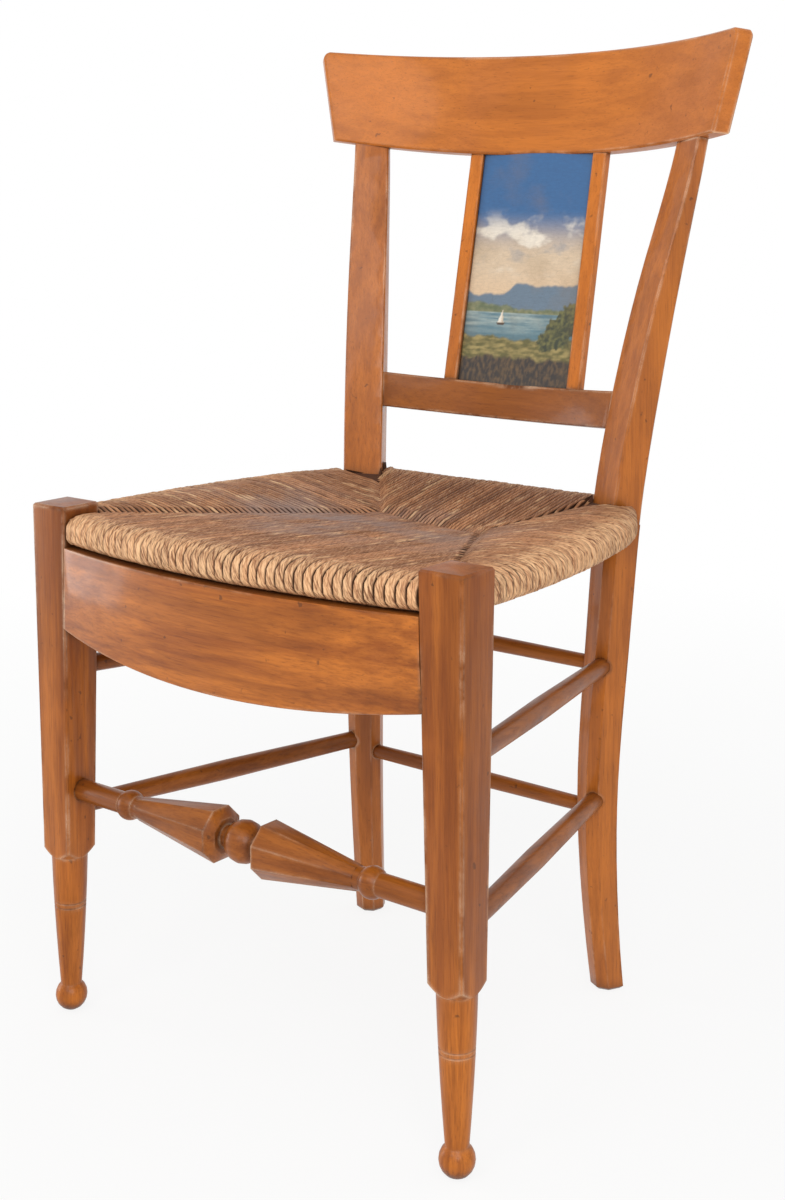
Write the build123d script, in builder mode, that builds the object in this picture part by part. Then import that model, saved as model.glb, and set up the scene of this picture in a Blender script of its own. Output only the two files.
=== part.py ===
"""Rush-seated side chair: sabre back posts, a bent crest over a painted panel, turned stretchers.

Millimetres, +Z up. The chair faces -Y and stands on Z = 0, with the middle of its outline
over the origin. Left and right are as seen from in front: left is -X.
"""

import os
from math import cos, radians, sin, sqrt, tan

from build123d import *

os.makedirs("parts", exist_ok=True)

# ---------------------------------------------------------------- sizes ----
# Front legs: square above, turned below
leg_spread = 427.0          # between the two front legs' centre lines
leg_top = 455.0             # height of the block that stands proud of the rush
leg_top_width = 41.0        # square at the top
leg_shoulder_width = 32.5   # square where the turning starts
shoulder_height = 148.0     # lowest point of the square's full corners
shoulder_fall = 8.0         # height of the turned bevel that cuts those corners
foot_top_radius = 15.8      # turned part, just under the shoulder
foot_middle_radius = 13.3   # half way down it
foot_neck_radius = 9.2      # thinnest point, over the ball
neck_bands = 5              # straight bands that make its hollow curve
ball_bands = 7              # and the round of its ball
groove_height = 98.5        # upper of two incised rings
groove_pitch = 4.0
groove_depth = 0.9
ball_radius = 14.0          # ball the leg stands on
ball_flat = 5.5             # radius of the flat that rests on the floor
leg_arris = 1.2             # eased long edges
leg_top_ease = 1.8          # worn edges of the top

# Back posts: sawn to a sabre curve and turned inwards to follow the hollow back
back_spread = 269.2         # between the back posts' centre lines at the ankle
back_depth = 319.0          # front legs' centre line to the back posts at the ankle
post_turn = 28.8            # degrees each post is turned about the vertical
post_splay = 0.75           # degrees each post spreads sideways
ankle_height = 180.0        # most forward point of the curve
knee_height = 330.0
arm_height = 440.0          # post at the level of the rush
foot_kick = 12.2            # how far the foot swings back from the ankle
knee_lean = 9.6             # how far the post leans back from the ankle, going up
arm_lean = 19.3
rail_lean = 37.9
neck_lean = 64.6
crest_lean = 94.3
foot_width = 27.0           # widths across the back
ankle_width = 32.0
arm_width = 38.0
top_width = 34.5
foot_depth = 23.0           # depths front to back
ankle_depth = 28.0
arm_depth = 29.5
rail_post_depth = 27.0
neck_depth = 20.0
top_depth = 12.0
front_ease = 8.0            # broad chamfers below the seat: front corners
back_ease = 4.5             # and back corners
ease_stop = 428.0           # height where they stop, inside the rush
post_arris = 1.2            # chamfer of the corners above that
foot_ease = 2.5             # chamfered edge under each back foot

# Crest rail: a board bent hollow to the front, flaring to its top corners
crest_spare = 12.0          # sawn away above and below when its edges are shaped
crest_radius = 465.0        # hollow front face, seen from above
crest_thickness = 16.0
crest_half_bottom = 218.7   # half width of the front face along the bottom edge
crest_half_top = 240.0      # and along the top edge
crest_height = 93.0         # up the board at its ends
crest_belly = 6.0           # how much lower the bottom edge hangs at the middle
crest_rise = 2.4            # how much higher the top edge stands at the middle
crest_bottom = 772.0        # height of the bottom edge over each post
back_rake = 11.5            # degrees the crest and the lower rail lean back
crest_end_bevel = 45.0      # degrees between the end cut and straight back
crest_arris = 1.8           # eased long edges
crest_corner = 7.0          # rounded top corners

# Lower back rail
rail_radius = 290.0         # hollow front face
rail_thickness = 15.0
rail_height = 34.0
rail_top = 545.0            # top edge where it meets the posts
rail_setback = 0.8          # behind the posts' front corners
rail_arris = 1.0

# Painted panel and the two stiles that frame it
stile_spread = 144.4        # between the stiles' centre lines
stile_width = 15.0
stile_thickness = 9.0
stile_proud = 3.8           # front of the stiles before the panel
stile_arris = 0.8
panel_thickness = 4.0
panel_setback = 0.5         # behind the hollow of the crest and of the lower rail
panel_tongue = 3.0          # how far each edge of the panel is let in

# Bowed front apron
apron_end_height = 72.5     # depth of the board at the legs
apron_belly = 15.0          # how much lower it hangs at the middle
apron_bow = 23.3            # how far the middle bows forward
apron_thickness = 20.0
apron_setback = 0.6         # behind the front of the legs, at the apron's top
apron_arris = 1.0

# Seat rails, hidden in the rush
seat_rail_level = 434.5     # height of their centre line
seat_rail_height = 19.0
seat_rail_thickness = 18.0
back_rail_line = 26.5       # back seat rail behind the ankle of the posts
side_rail_thickness = 16.0
side_rail_bulge = 20.0      # how far each side rail bows outwards
side_rail_aim = 2.5         # where it meets the post's outer side, before the middle
side_rail_sink = 7.0        # its blank runs this far into the post, before it is fitted

# Rush seat
rush_bottom = 420.0
rush_top = 448.6
rush_overhang = 16.0        # seat rail's centre line to the outside of the rush
rush_front_half = 231.0     # half width behind the front legs
rush_waist_half = 225.0     # half width half way back
rush_back_half = 204.0      # half width where the back corners start
rush_corner_depth = 58.0    # from there back to the ankle line of the posts
rush_wrap = 6.0             # how far the rush stands off the outer side of each post
rush_waist_back = 20.0      # how far behind half way that half width lies
rush_top_ease = 6.0         # bevels that stand for its rounded rim
rush_bottom_ease = 4.0
rush_sag = 20.0             # how far the middle of the weave hangs below its rim
rush_sag_inset = 24.0       # from the outline in to where it starts to fall
rush_hang = 9.0             # how far the underside hangs
rush_hang_inset = 46.0
rush_ridge_half = 60.0      # half length of the line where front and back weave meet
rush_ridge_back = 229.5     # how far that line lies behind the front legs

# Stretchers
front_stretcher_height = 201.3
stretcher_radius = 9.3      # plain turned ends of the front stretcher
middle_ball_radius = 17.5
middle_ball_bands = 3       # straight bands on each side of it
middle_neck_radius = 9.0    # between the ball and each vase
vase_radius = 23.6          # faceted vases, over the corners of the facets
vase_end_radius = 10.0
vase_face_radius = 15.0     # end face beside the ball
vase_face = 20.5            # from the middle to that end face
vase_ridge = 26.5           # from the middle to the widest point
vase_end = 120.0            # from the middle to the narrow end
vase_facets = 8
ring_centre = 134.0         # from the middle to the turned ring
ring_width = 16.0
ring_radius = 12.6
side_upper_front = 307.8    # side stretchers: height at the front leg, then at the post
side_upper_back = 301.0
side_lower_front = 181.8
side_lower_back = 178.8
side_end_radius = 8.0
side_middle_radius = 9.2
side_parallel = 26.0        # length of their plain ends
side_aim = 5.0              # outside the post's centre line
back_upper_level = 298.5
back_lower_level = 167.5
back_end_radius = 6.6
back_middle_radius = 7.4
back_parallel = 18.0

# Joints
glue_gap = 0.1              # round every tenon
end_gap = 1.0               # past the end of every tenon
rush_clearance = 0.3        # between the soft rush and the wood
crest_tenon = (22.0, 6.0, 26.0)     # width, thickness, length
crest_tenon_set = 4.0       # before the middle of the post
stile_tenon = (7.0, 5.0, 8.0)
rail_tenon = (22.0, 6.0, 12.0)
apron_tenon = (46.0, 8.0, 14.0)
seat_tenon = (12.0, 9.0, 12.0)
rear_tenon = (12.0, 9.0, 8.0)       # shorter, as the post is turned askew to it
rear_tenon_set = 3.0        # shoulder of the back rail, inside the post's centre line
front_peg_radius = 7.0
front_peg_length = 14.0
side_socket = 13.0          # how deep the side stretchers enter
back_socket = 9.0           # how deep the back stretchers enter

# ------------------------------------------------------- worked-out sizes ----
turn = radians(post_turn)
rake = radians(back_rake)
outward = Vector(cos(turn), -sin(turn), 0)    # across a right-hand post
backward = Vector(sin(turn), cos(turn), 0)    # through a right-hand post
up_back = Vector(0, sin(rake), cos(rake))     # up along the raked back
into_back = Vector(0, cos(rake), -sin(rake))  # square to it

crest_chord = sqrt(crest_radius**2 - crest_half_bottom**2)
crest_middle = crest_radius + crest_thickness / 2
post_top_reach = (
    back_spread / 2
    + cos(turn) * tan(radians(post_splay)) * (crest_bottom - ankle_height)
    + sin(turn) * crest_lean
)
crest_sag = sqrt(crest_middle**2 - post_top_reach**2) - crest_chord
crest_drop = crest_belly * (1 - (post_top_reach / crest_half_bottom) ** 2)
post_top_depth = (
    back_depth
    + cos(turn) * crest_lean
    - sin(turn) * tan(radians(post_splay)) * (crest_bottom - ankle_height)
)
crest_depth = post_top_depth - crest_sag * cos(rake) + crest_drop * sin(rake)

# The outline's middle lies over the origin: reach forward and back from the front legs
front_reach = leg_top_width / 2 - apron_setback + apron_bow
back_reach = (
    crest_depth
    + (crest_radius + crest_thickness - crest_chord) * cos(rake)
    + (crest_height + crest_rise - crest_arris) * sin(rake)
)
leg_line = (front_reach - back_reach) / 2     # Y of the front legs' centre lines
ankle_line = leg_line + back_depth            # Y of the back posts at the ankle

neck_height = (rail_top + crest_bottom) / 2   # half way up the free part of each post
post_reach = crest_bottom + crest_thickness   # the blank of a post reaches into the crest
post_stations = [
    # height, lean, depth
    (0.0, foot_kick, foot_depth),
    (ankle_height / 2, foot_kick / 4, (foot_depth + ankle_depth) / 2),
    (ankle_height, 0.0, ankle_depth),
    (knee_height, knee_lean, arm_depth),
    (arm_height, arm_lean, arm_depth),
    (rail_top, rail_lean, rail_post_depth),
    (neck_height, neck_lean, neck_depth),
    (crest_bottom, crest_lean, top_depth),
    (post_reach, crest_lean + tan(rake) * (post_reach - crest_bottom), top_depth),
]
post_widths = [
    # height, width
    (0.0, foot_width),
    (ankle_height, ankle_width),
    (arm_height, arm_width),
    (post_reach, top_width),
]


# -------------------------------------------------------------- functions ----
def post_point(height, lean, across=0.0):
    """Point on a right-hand post, from its height and its lean back from the ankle."""
    ankle = Vector(back_spread / 2, ankle_line, height)
    return ankle + outward * (post_side(height) + across) + backward * lean


def post_side(height):
    """How far the splay has moved a post outwards at a height."""
    return tan(radians(post_splay)) * (height - ankle_height)


def between(low, high, height):
    """Value at a height on the line between two (height, value) pairs."""
    return low[1] + (high[1] - low[1]) * (height - low[0]) / (high[0] - low[0])


def along(stations, height, column=1):
    """Value in a column of a list of stations, at a height."""
    for low, high in zip(stations, stations[1:]):
        if height <= high[0]:
            break
    return between((low[0], low[column]), (high[0], high[column]), height)


def both(part):
    """A right-hand part with its left-hand twin."""
    return [part, mirror(part, about=Plane.YZ)]


def twin(piece, name):
    """Write a right-hand piece and its mirror image as two nodes."""
    finish(piece.part, f"{name}_right")
    finish(mirror(piece.part, about=Plane.YZ), f"{name}_left")


def finish(part, name):
    """Label a finished piece and write it."""
    part.label = name
    export_step(part, f"parts/{name}.step")


def tenon(plane, size, gap=0.0):
    """Rectangular tenon standing on a plane, or the mortise for it when a gap is given."""
    width, thickness, length = size
    with BuildPart() as piece:
        with BuildSketch(plane.offset(-thickness)):
            Rectangle(width + 2 * gap, thickness + 2 * gap)
        extrude(amount=thickness + length + (end_gap if gap else 0))
    return piece.part


def peg(plane, radius, length, gap=0.0):
    """Round tenon standing on a plane, or the hole for it when a gap is given."""
    with BuildPart() as piece:
        with BuildSketch(plane.offset(-radius)):
            Circle(radius + gap)
        extrude(amount=radius + length + (end_gap if gap else 0))
    return piece.part


def turned(*points):
    """Profile of a turned form in straight spans; as splines they need few facets."""
    for start, end in zip(points, points[1:]):
        Spline(start, end)


def turned_arc(start, middle, end, bands):
    """Profile of a turned curve, as that many straight spans along its arc."""
    arc = ThreePointArc(start, middle, end, mode=Mode.PRIVATE)
    turned(*[arc @ (band / bands) for band in range(bands + 1)])


def stick(start, end, end_radius, middle_radius, parallel):
    """Round stick that swells towards its middle between two parallel ends."""
    length = (end - start).length
    heading = (end - start).normalized()
    across = heading.cross(Vector(0, 0, 1)).normalized()
    with BuildPart() as piece:
        with BuildSketch(Plane(start, x_dir=heading, z_dir=across)):
            with BuildLine():
                turned(
                    (0, end_radius),
                    (parallel, end_radius),
                    (length / 2, middle_radius),
                    (length - parallel, end_radius),
                    (length, end_radius),
                )
                Polyline((0, end_radius), (0, 0), (length, 0), (length, end_radius))
            make_face()
        revolve(axis=Axis(start, heading))
    return piece


def socket(start, end, radius, depth):
    """Hole for the end of a stick: from just past its start towards its other end."""
    heading = (end - start).normalized()
    with BuildPart() as hole:
        with BuildSketch(Plane(start - heading * end_gap, z_dir=heading)):
            Circle(radius + glue_gap)
        extrude(amount=end_gap + depth)
    return hole.part


# ------------------------------------------------------------- leg blanks ----
def leg_blank(extra=0.0):
    """Right-hand front leg as a plain tapered square, or that much fuller all round."""
    floor_width = between((shoulder_height, leg_shoulder_width), (leg_top, leg_top_width), 0)
    ground = Vector(leg_spread / 2, leg_line, 0)
    side_view = [
        (-floor_width / 2 - extra, 0),
        (floor_width / 2 + extra, 0),
        (leg_top_width / 2 + extra, leg_top),
        (-leg_top_width / 2 - extra, leg_top),
    ]
    with BuildPart() as square:
        with BuildSketch(Plane(ground, x_dir=(1, 0, 0), z_dir=(0, -1, 0))):
            Polygon(*side_view, align=None)
        extrude(amount=leg_top_width, both=True)
        with BuildSketch(Plane(ground, x_dir=(0, 1, 0), z_dir=(1, 0, 0))):
            Polygon(*side_view, align=None)
        extrude(amount=leg_top_width, both=True, mode=Mode.INTERSECT)
    return square.part


def post_blank(extra=0.0):
    """Right-hand sabre post before any joint is cut, or that much fuller all round."""
    ankle = post_point(0, 0) - outward * post_side(0)
    with BuildPart() as blank:
        with BuildSketch(Plane(ankle, x_dir=backward, z_dir=outward)):
            with BuildLine():
                front = Spline([(lean - depth / 2 - extra, height) for height, lean, depth in post_stations])
                back = Spline([(lean + depth / 2 + extra, height) for height, lean, depth in post_stations])
                Line(front @ 0, back @ 0)
                Line(front @ 1, back @ 1)
            make_face()
        extrude(amount=arm_width, both=True)
        with BuildSketch(Plane(ankle, x_dir=outward, z_dir=-backward)):
            with BuildLine():
                inner = Spline([(post_side(height) - width / 2 - extra, height) for height, width in post_widths])
                outer = Spline([(post_side(height) + width / 2 + extra, height) for height, width in post_widths])
                Line(inner @ 0, outer @ 0)
                Line(inner @ 1, outer @ 1)
            make_face()
        extrude(amount=2 * crest_lean, both=True, mode=Mode.INTERSECT)
    return blank.part


leg_square = leg_blank()
post_square = post_blank()

# The lower half of each post has broad chamfers, the upper half only eased corners
post_axis = Axis(post_point(0, 0), backward)
with BuildPart() as post_lower:
    add(post_square)
    split(bisect_by=Plane.XY.offset(ease_stop), keep=Keep.BOTTOM)
    long_edges = post_lower.edges().filter_by(lambda edge: edge.length > ease_stop / 2)
    chamfer(long_edges.sort_by(post_axis)[:2], length=front_ease)
    long_edges = post_lower.edges().filter_by(lambda edge: edge.length > ease_stop / 2)
    chamfer(long_edges.sort_by(post_axis)[-2:], length=back_ease)
    chamfer(post_lower.faces().sort_by(Axis.Z)[0].edges(), length=foot_ease)
with BuildPart() as post_upper:
    add(post_square)
    split(bisect_by=Plane.XY.offset(ease_stop), keep=Keep.TOP)
    chamfer(
        post_upper.edges().filter_by(lambda edge: edge.length > (crest_bottom - ease_stop) / 2),
        length=post_arris,
    )


# ------------------------------------------------------------ crest blank ----
crest_origin = Vector(
    0,
    leg_line + crest_depth,
    crest_bottom + crest_sag * sin(rake) + crest_drop * cos(rake),
)
crest_plan = Plane(crest_origin, x_dir=(1, 0, 0), z_dir=up_back)
crest_view = Plane(crest_origin, x_dir=(1, 0, 0), z_dir=-into_back)
crest_reach = crest_half_top + 2 * crest_thickness


def crest_front(x, height):
    """Point on the crest's hollow front face."""
    depth = sqrt(crest_radius**2 - x**2) - crest_chord
    return crest_origin + Vector(x, 0, 0) + into_back * depth + up_back * height


def crest_under(x, depth):
    """Point on the crest's underside, at a depth behind its hollow front face."""
    rise = -crest_belly * (1 - (x / crest_half_bottom) ** 2)
    return crest_front(x, rise) + into_back * depth


with BuildPart() as crest_blank:
    with BuildSketch(crest_plan.offset(-crest_spare)):
        with Locations((0, -crest_chord)):
            Circle(crest_radius + crest_thickness)
            Circle(crest_radius, mode=Mode.SUBTRACT)
        Rectangle(2 * crest_reach, crest_radius, mode=Mode.INTERSECT)
    extrude(amount=crest_height + 2 * crest_spare)
    with BuildSketch(crest_view):
        low_end = crest_belly * ((crest_reach / crest_half_bottom) ** 2 - 1)
        high_end = crest_height - crest_rise * ((crest_reach / crest_half_top) ** 2 - 1)
        with BuildLine():
            bottom_edge = ThreePointArc(
                (-crest_reach, low_end), (0, -crest_belly), (crest_reach, low_end)
            )
            top_edge = ThreePointArc(
                (-crest_reach, high_end), (0, crest_height + crest_rise), (crest_reach, high_end)
            )
            Line(bottom_edge @ 0, top_edge @ 0)
            Line(bottom_edge @ 1, top_edge @ 1)
        make_face()
    extrude(amount=crest_radius / 2, both=True, mode=Mode.INTERSECT)
    # Each end is cut to a bevel that flares from the bottom edge to the top
    bevel = radians(crest_end_bevel)
    end_corner = crest_front(crest_half_bottom, 0)
    end_rise = crest_front(crest_half_top, crest_height) - end_corner
    end_depth = Vector(sin(bevel), 0, 0) + into_back * cos(bevel)
    inwards = end_rise.cross(end_depth)
    inwards = inwards if inwards.X < 0 else -inwards
    split(bisect_by=Plane(end_corner, z_dir=inwards), keep=Keep.TOP)
    other_corner = Vector(-end_corner.X, end_corner.Y, end_corner.Z)
    split(
        bisect_by=Plane(other_corner, z_dir=Vector(-inwards.X, inwards.Y, inwards.Z)),
        keep=Keep.TOP,
    )

# Everything above the crest's underside, to cut what stands under it
with BuildPart() as over_crest:
    with BuildSketch(crest_view):
        with BuildLine():
            bottom_edge = ThreePointArc(
                (-crest_reach, low_end), (0, -crest_belly), (crest_reach, low_end)
            )
            Polyline(
                bottom_edge @ 0,
                (-crest_reach, 2 * crest_height),
                (crest_reach, 2 * crest_height),
                bottom_edge @ 1,
            )
        make_face()
    extrude(amount=crest_radius / 2, both=True)


# ------------------------------------------------------- lower rail blank ----
rail_post_width = along(post_widths, rail_top)
rail_corner = post_point(rail_top, rail_lean - rail_post_depth / 2, -rail_post_width / 2)
rail_cut = post_point(rail_top, rail_lean, rail_setback - rail_post_width / 2)
rail_half = rail_corner.X
rail_chord = sqrt(rail_radius**2 - rail_half**2)
rail_origin = Vector(0, rail_corner.Y, rail_top) + into_back * rail_setback


def rail_front(x, height):
    """Point on the lower rail's hollow front face; height is up from its top edge."""
    depth = sqrt(rail_radius**2 - x**2) - rail_chord
    return rail_origin + Vector(x, 0, 0) + into_back * depth + up_back * height


with BuildPart() as rail_blank:
    with BuildSketch(Plane(rail_origin, x_dir=(1, 0, 0), z_dir=up_back)):
        with Locations((0, -rail_chord)):
            Circle(rail_radius + rail_thickness)
            Circle(rail_radius, mode=Mode.SUBTRACT)
        Rectangle(rail_radius, rail_radius, mode=Mode.INTERSECT)
    extrude(amount=-rail_height)
    # Each end stops just inside the post, where it is then fitted to the post's side
    split(bisect_by=Plane(rail_cut, z_dir=-outward), keep=Keep.TOP)
    split(
        bisect_by=Plane((-rail_cut.X, rail_cut.Y, rail_cut.Z), z_dir=(outward.X, -outward.Y, 0)),
        keep=Keep.TOP,
    )


# ------------------------------------------------- panel and stile blanks ----
panel_foot = rail_front(0, 0) + into_back * panel_setback
panel_head = crest_under(0, panel_setback)
panel_rise = panel_head - panel_foot
panel_view = Plane(
    (panel_foot + panel_head) / 2,
    x_dir=(1, 0, 0),
    z_dir=Vector(1, 0, 0).cross(panel_rise),
)
panel_length = panel_rise.length
stile_gap = stile_spread - stile_width


def panel_blank(extra=0.0):
    """The painted panel, or the groove for it when it is made fuller all round."""
    with BuildPart() as board:
        with BuildSketch(panel_view.offset(extra)):
            Rectangle(
                stile_gap + 2 * panel_tongue + 2 * extra,
                panel_length + 2 * panel_tongue + 2 * extra,
            )
        extrude(amount=-panel_thickness - 2 * extra)
    return board.part


def stile_bar(width, thickness, reach):
    """Right-hand upright bar of the panel's frame, reaching past both of its ends."""
    middle = stile_proud - stile_thickness / 2
    with BuildPart() as bar:
        with BuildSketch(panel_view.offset(middle - thickness / 2)):
            with Locations((stile_spread / 2, 0)):
                Rectangle(width, panel_length + 2 * reach)
        extrude(amount=thickness)
    return bar.part


def stile_mortise():
    width, thickness, length = stile_tenon
    return stile_bar(width + 2 * glue_gap, thickness + 2 * glue_gap, length + crest_belly + end_gap)


# ------------------------------------------------------- seat rail blanks ----
leg_inside = leg_spread / 2 - leg_top_width / 2   # inner face of a front leg, at its top
apron_line = leg_line - leg_top_width / 2 + apron_setback
apron_top = rush_bottom - rush_clearance
bow_radius = (leg_inside**2 + apron_bow**2) / (2 * apron_bow)
front_rail_line = apron_line + rush_overhang
rear_rail_line = ankle_line + back_rail_line


def bowed_strip(height, line, thickness):
    """Sketch of a strip bowed like the apron, whose front crosses a line in Y at the legs."""
    half = leg_spread / 2
    end = line - apron_bow + bow_radius - sqrt(bow_radius**2 - half**2)
    with BuildSketch(Plane.XY.offset(height)) as strip:
        with BuildLine():
            front = ThreePointArc((-half, end), (0, line - apron_bow), (half, end))
            back = ThreePointArc(
                (-half, end + thickness),
                (0, line - apron_bow + thickness),
                (half, end + thickness),
            )
            Line(front @ 0, back @ 0)
            Line(front @ 1, back @ 1)
        make_face()
    return strip


rail_floor = seat_rail_level - seat_rail_height / 2
side_rail_start = Vector(leg_spread / 2, leg_line, seat_rail_level)
side_rail_end = post_point(
    seat_rail_level,
    along(post_stations, seat_rail_level) - side_rail_aim,
    along(post_widths, seat_rail_level) / 2 - side_rail_sink,
)
side_rail_chord = side_rail_end - side_rail_start
side_rail_middle = (side_rail_start + side_rail_end) / 2 + (
    side_rail_chord.cross(Vector(0, 0, 1)).normalized() * side_rail_bulge
)


def front_rail_blank(extra=0.0):
    with BuildPart() as bar:
        strip = bowed_strip(
            rail_floor - extra,
            front_rail_line - seat_rail_thickness / 2 - extra,
            seat_rail_thickness + 2 * extra,
        )
        extrude(strip.sketch, amount=seat_rail_height + 2 * extra)
    return bar.part


def rear_rail_blank(extra=0.0):
    with BuildPart() as bar:
        with BuildSketch(Plane((0, rear_rail_line, rail_floor - extra))):
            Rectangle(back_spread, seat_rail_thickness + 2 * extra)
        extrude(amount=seat_rail_height + 2 * extra)
    return bar.part


def side_rail_blank(extra=0.0):
    with BuildPart() as bar:
        with BuildLine() as path:
            ThreePointArc(side_rail_start, side_rail_middle, side_rail_end)
        with BuildSketch(Plane(path.line @ 0, x_dir=(0, 0, 1), z_dir=path.line % 0)):
            Rectangle(seat_rail_height + 2 * extra, side_rail_thickness + 2 * extra)
        sweep(path=path.line)
    return bar.part


# ------------------------------------------------------------- stretchers ----
def leg_centre(height):
    return Vector(leg_spread / 2, leg_line, height)


def post_socket(height, across, depth):
    """Point inside a right-hand post, a depth behind the middle of its front face."""
    front = along(post_stations, height) - along(post_stations, height, 2) / 2
    return post_point(height, front + depth, across)


def side_ends(front_height, back_height):
    """Both ends of a right-hand side stretcher, each let into its socket."""
    back = post_socket(back_height, side_aim, side_socket)
    front = leg_centre(front_height)
    heading = (back - front).normalized()
    face = between((shoulder_height, leg_shoulder_width), (leg_top, leg_top_width), front_height) / 2
    return front + heading * (face - side_socket) / heading.Y, back


def back_ends(height):
    """Both ends of a back stretcher, each let into the inner side of a post."""
    centre = post_point(height, along(post_stations, height))
    reach = centre.X - (along(post_widths, height) / 2 - back_socket) / cos(turn)
    return Vector(-reach, centre.Y, height), Vector(reach, centre.Y, height)


side_sticks = {
    "side_stretcher_upper": side_ends(side_upper_front, side_upper_back),
    "side_stretcher_lower": side_ends(side_lower_front, side_lower_back),
}
back_sticks = {
    "back_stretcher_upper": back_ends(back_upper_level),
    "back_stretcher_lower": back_ends(back_lower_level),
}

for name, (start, end) in side_sticks.items():
    side_stick = stick(start, end, side_end_radius, side_middle_radius, side_parallel)
    twin(side_stick, name)
for name, (start, end) in back_sticks.items():
    back_stick = stick(start, end, back_end_radius, back_middle_radius, back_parallel)
    finish(back_stick.part, name)

# Front stretcher: turned, with two faceted vases either side of a ball
shoulder_x = leg_spread / 2 - between(
    (shoulder_height, leg_shoulder_width), (leg_top, leg_top_width), front_stretcher_height
) / 2
front_middle = Vector(0, leg_line, front_stretcher_height)
ring_foot = ring_width / 2
ball_end = sqrt(middle_ball_radius**2 - middle_neck_radius**2)
with BuildPart() as front_stretcher:
    with BuildSketch(Plane(front_middle, x_dir=(1, 0, 0), z_dir=(0, -1, 0))):
        with BuildLine():
            turned_arc(
                (0, middle_ball_radius),
                (ball_end / 2, sqrt(middle_ball_radius**2 - (ball_end / 2) ** 2)),
                (ball_end, middle_neck_radius),
                middle_ball_bands,
            )
            Polyline(
                (ball_end, middle_neck_radius),
                (vase_face, middle_neck_radius),
                (vase_end, stretcher_radius),
                (ring_centre - ring_foot, stretcher_radius),
            )
            ThreePointArc(
                (ring_centre - ring_foot, stretcher_radius),
                (ring_centre, ring_radius),
                (ring_centre + ring_foot, stretcher_radius),
            )
            Polyline(
                (ring_centre + ring_foot, stretcher_radius),
                (leg_spread / 2, stretcher_radius),
                (leg_spread / 2, 0),
                (0, 0),
                (0, middle_ball_radius),
            )
        make_face()
    revolve(axis=Axis(front_middle, (1, 0, 0)))
    for low, high in (
        ((vase_face, vase_face_radius), (vase_ridge, vase_radius)),
        ((vase_ridge, vase_radius), (vase_end, vase_end_radius)),
    ):
        for x, radius in (low, high):
            with BuildSketch(Plane(front_middle + Vector(x, 0, 0), z_dir=(1, 0, 0))):
                RegularPolygon(radius, vase_facets, rotation=180 / vase_facets)
        loft(ruled=True)
    mirror(about=Plane.YZ)
    add(both(leg_square), mode=Mode.SUBTRACT)
    front_peg = Plane(Vector(shoulder_x, leg_line, front_stretcher_height), z_dir=(1, 0, 0))
    add(both(peg(front_peg, front_peg_radius, front_peg_length)))
finish(front_stretcher.part, "front_stretcher")


# -------------------------------------------------------------- seat rails ----
front_rail_seat = Plane(
    (leg_inside, front_rail_line, seat_rail_level),
    x_dir=(0, 0, 1),
    z_dir=(1, 0, 0),
)
rear_rail_seat = Plane(
    (back_spread / 2 - rear_tenon_set, rear_rail_line, seat_rail_level),
    x_dir=(0, 0, 1),
    z_dir=(1, 0, 0),
)
side_path = ThreePointArc(side_rail_start, side_rail_middle, side_rail_end)
side_rail_front = Plane(
    (leg_spread / 2, leg_line + leg_top_width / 2, seat_rail_level),
    x_dir=(0, 0, 1),
    z_dir=(0, -1, 0),
)
side_rail_heading = side_path % 1
side_rail_face = side_rail_end + side_rail_heading * (side_rail_sink / side_rail_heading.dot(outward))
side_rail_back = Plane(side_rail_face, x_dir=(0, 0, 1), z_dir=side_rail_heading)

with BuildPart() as front_seat_rail:
    add(front_rail_blank())
    add(both(leg_square), mode=Mode.SUBTRACT)
    add(both(tenon(front_rail_seat, seat_tenon)))
finish(front_seat_rail.part, "front_seat_rail")

with BuildPart() as back_seat_rail:
    add(rear_rail_blank())
    add(both(post_square), mode=Mode.SUBTRACT)
    add(both(tenon(rear_rail_seat, rear_tenon)))
finish(back_seat_rail.part, "back_seat_rail")

with BuildPart() as side_seat_rail:
    add(side_rail_blank())
    add(leg_square, mode=Mode.SUBTRACT)
    add(post_square, mode=Mode.SUBTRACT)
    add(tenon(side_rail_front, seat_tenon))
    add(tenon(side_rail_back, seat_tenon))
twin(side_seat_rail, "side_seat_rail")


# ------------------------------------------------------------ front apron ----
apron_floor = apron_top - apron_end_height
apron_end_rise = apron_belly * ((leg_spread / 2 / leg_inside) ** 2 - 1)   # hidden in the legs
apron_face = Plane((0, leg_line, apron_top), x_dir=(1, 0, 0), z_dir=(0, -1, 0))
apron_seat = Plane(
    (leg_inside, apron_line + apron_thickness / 2, apron_top - apron_end_height / 2),
    x_dir=(0, 0, 1),
    z_dir=(1, 0, 0),
)
with BuildPart() as front_apron:
    board = bowed_strip(apron_floor - apron_belly, apron_line, apron_thickness)
    extrude(board.sketch, amount=apron_end_height + apron_belly)
    with BuildSketch(apron_face):
        with BuildLine():
            belly = ThreePointArc(
                (-leg_spread / 2, apron_end_rise - apron_end_height),
                (0, -apron_belly - apron_end_height),
                (leg_spread / 2, apron_end_rise - apron_end_height),
            )
            Polyline(belly @ 0, (-leg_spread / 2, 0), (leg_spread / 2, 0), belly @ 1)
        make_face()
    extrude(amount=leg_spread / 2, both=True, mode=Mode.INTERSECT)
    chamfer(
        front_apron.faces().sort_by(Axis.Z)[0].edges().filter_by(lambda edge: edge.length > leg_spread / 2),
        length=apron_arris,
    )
    add(both(leg_square), mode=Mode.SUBTRACT)
    add(both(tenon(apron_seat, apron_tenon)))
finish(front_apron.part, "front_apron")


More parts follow.
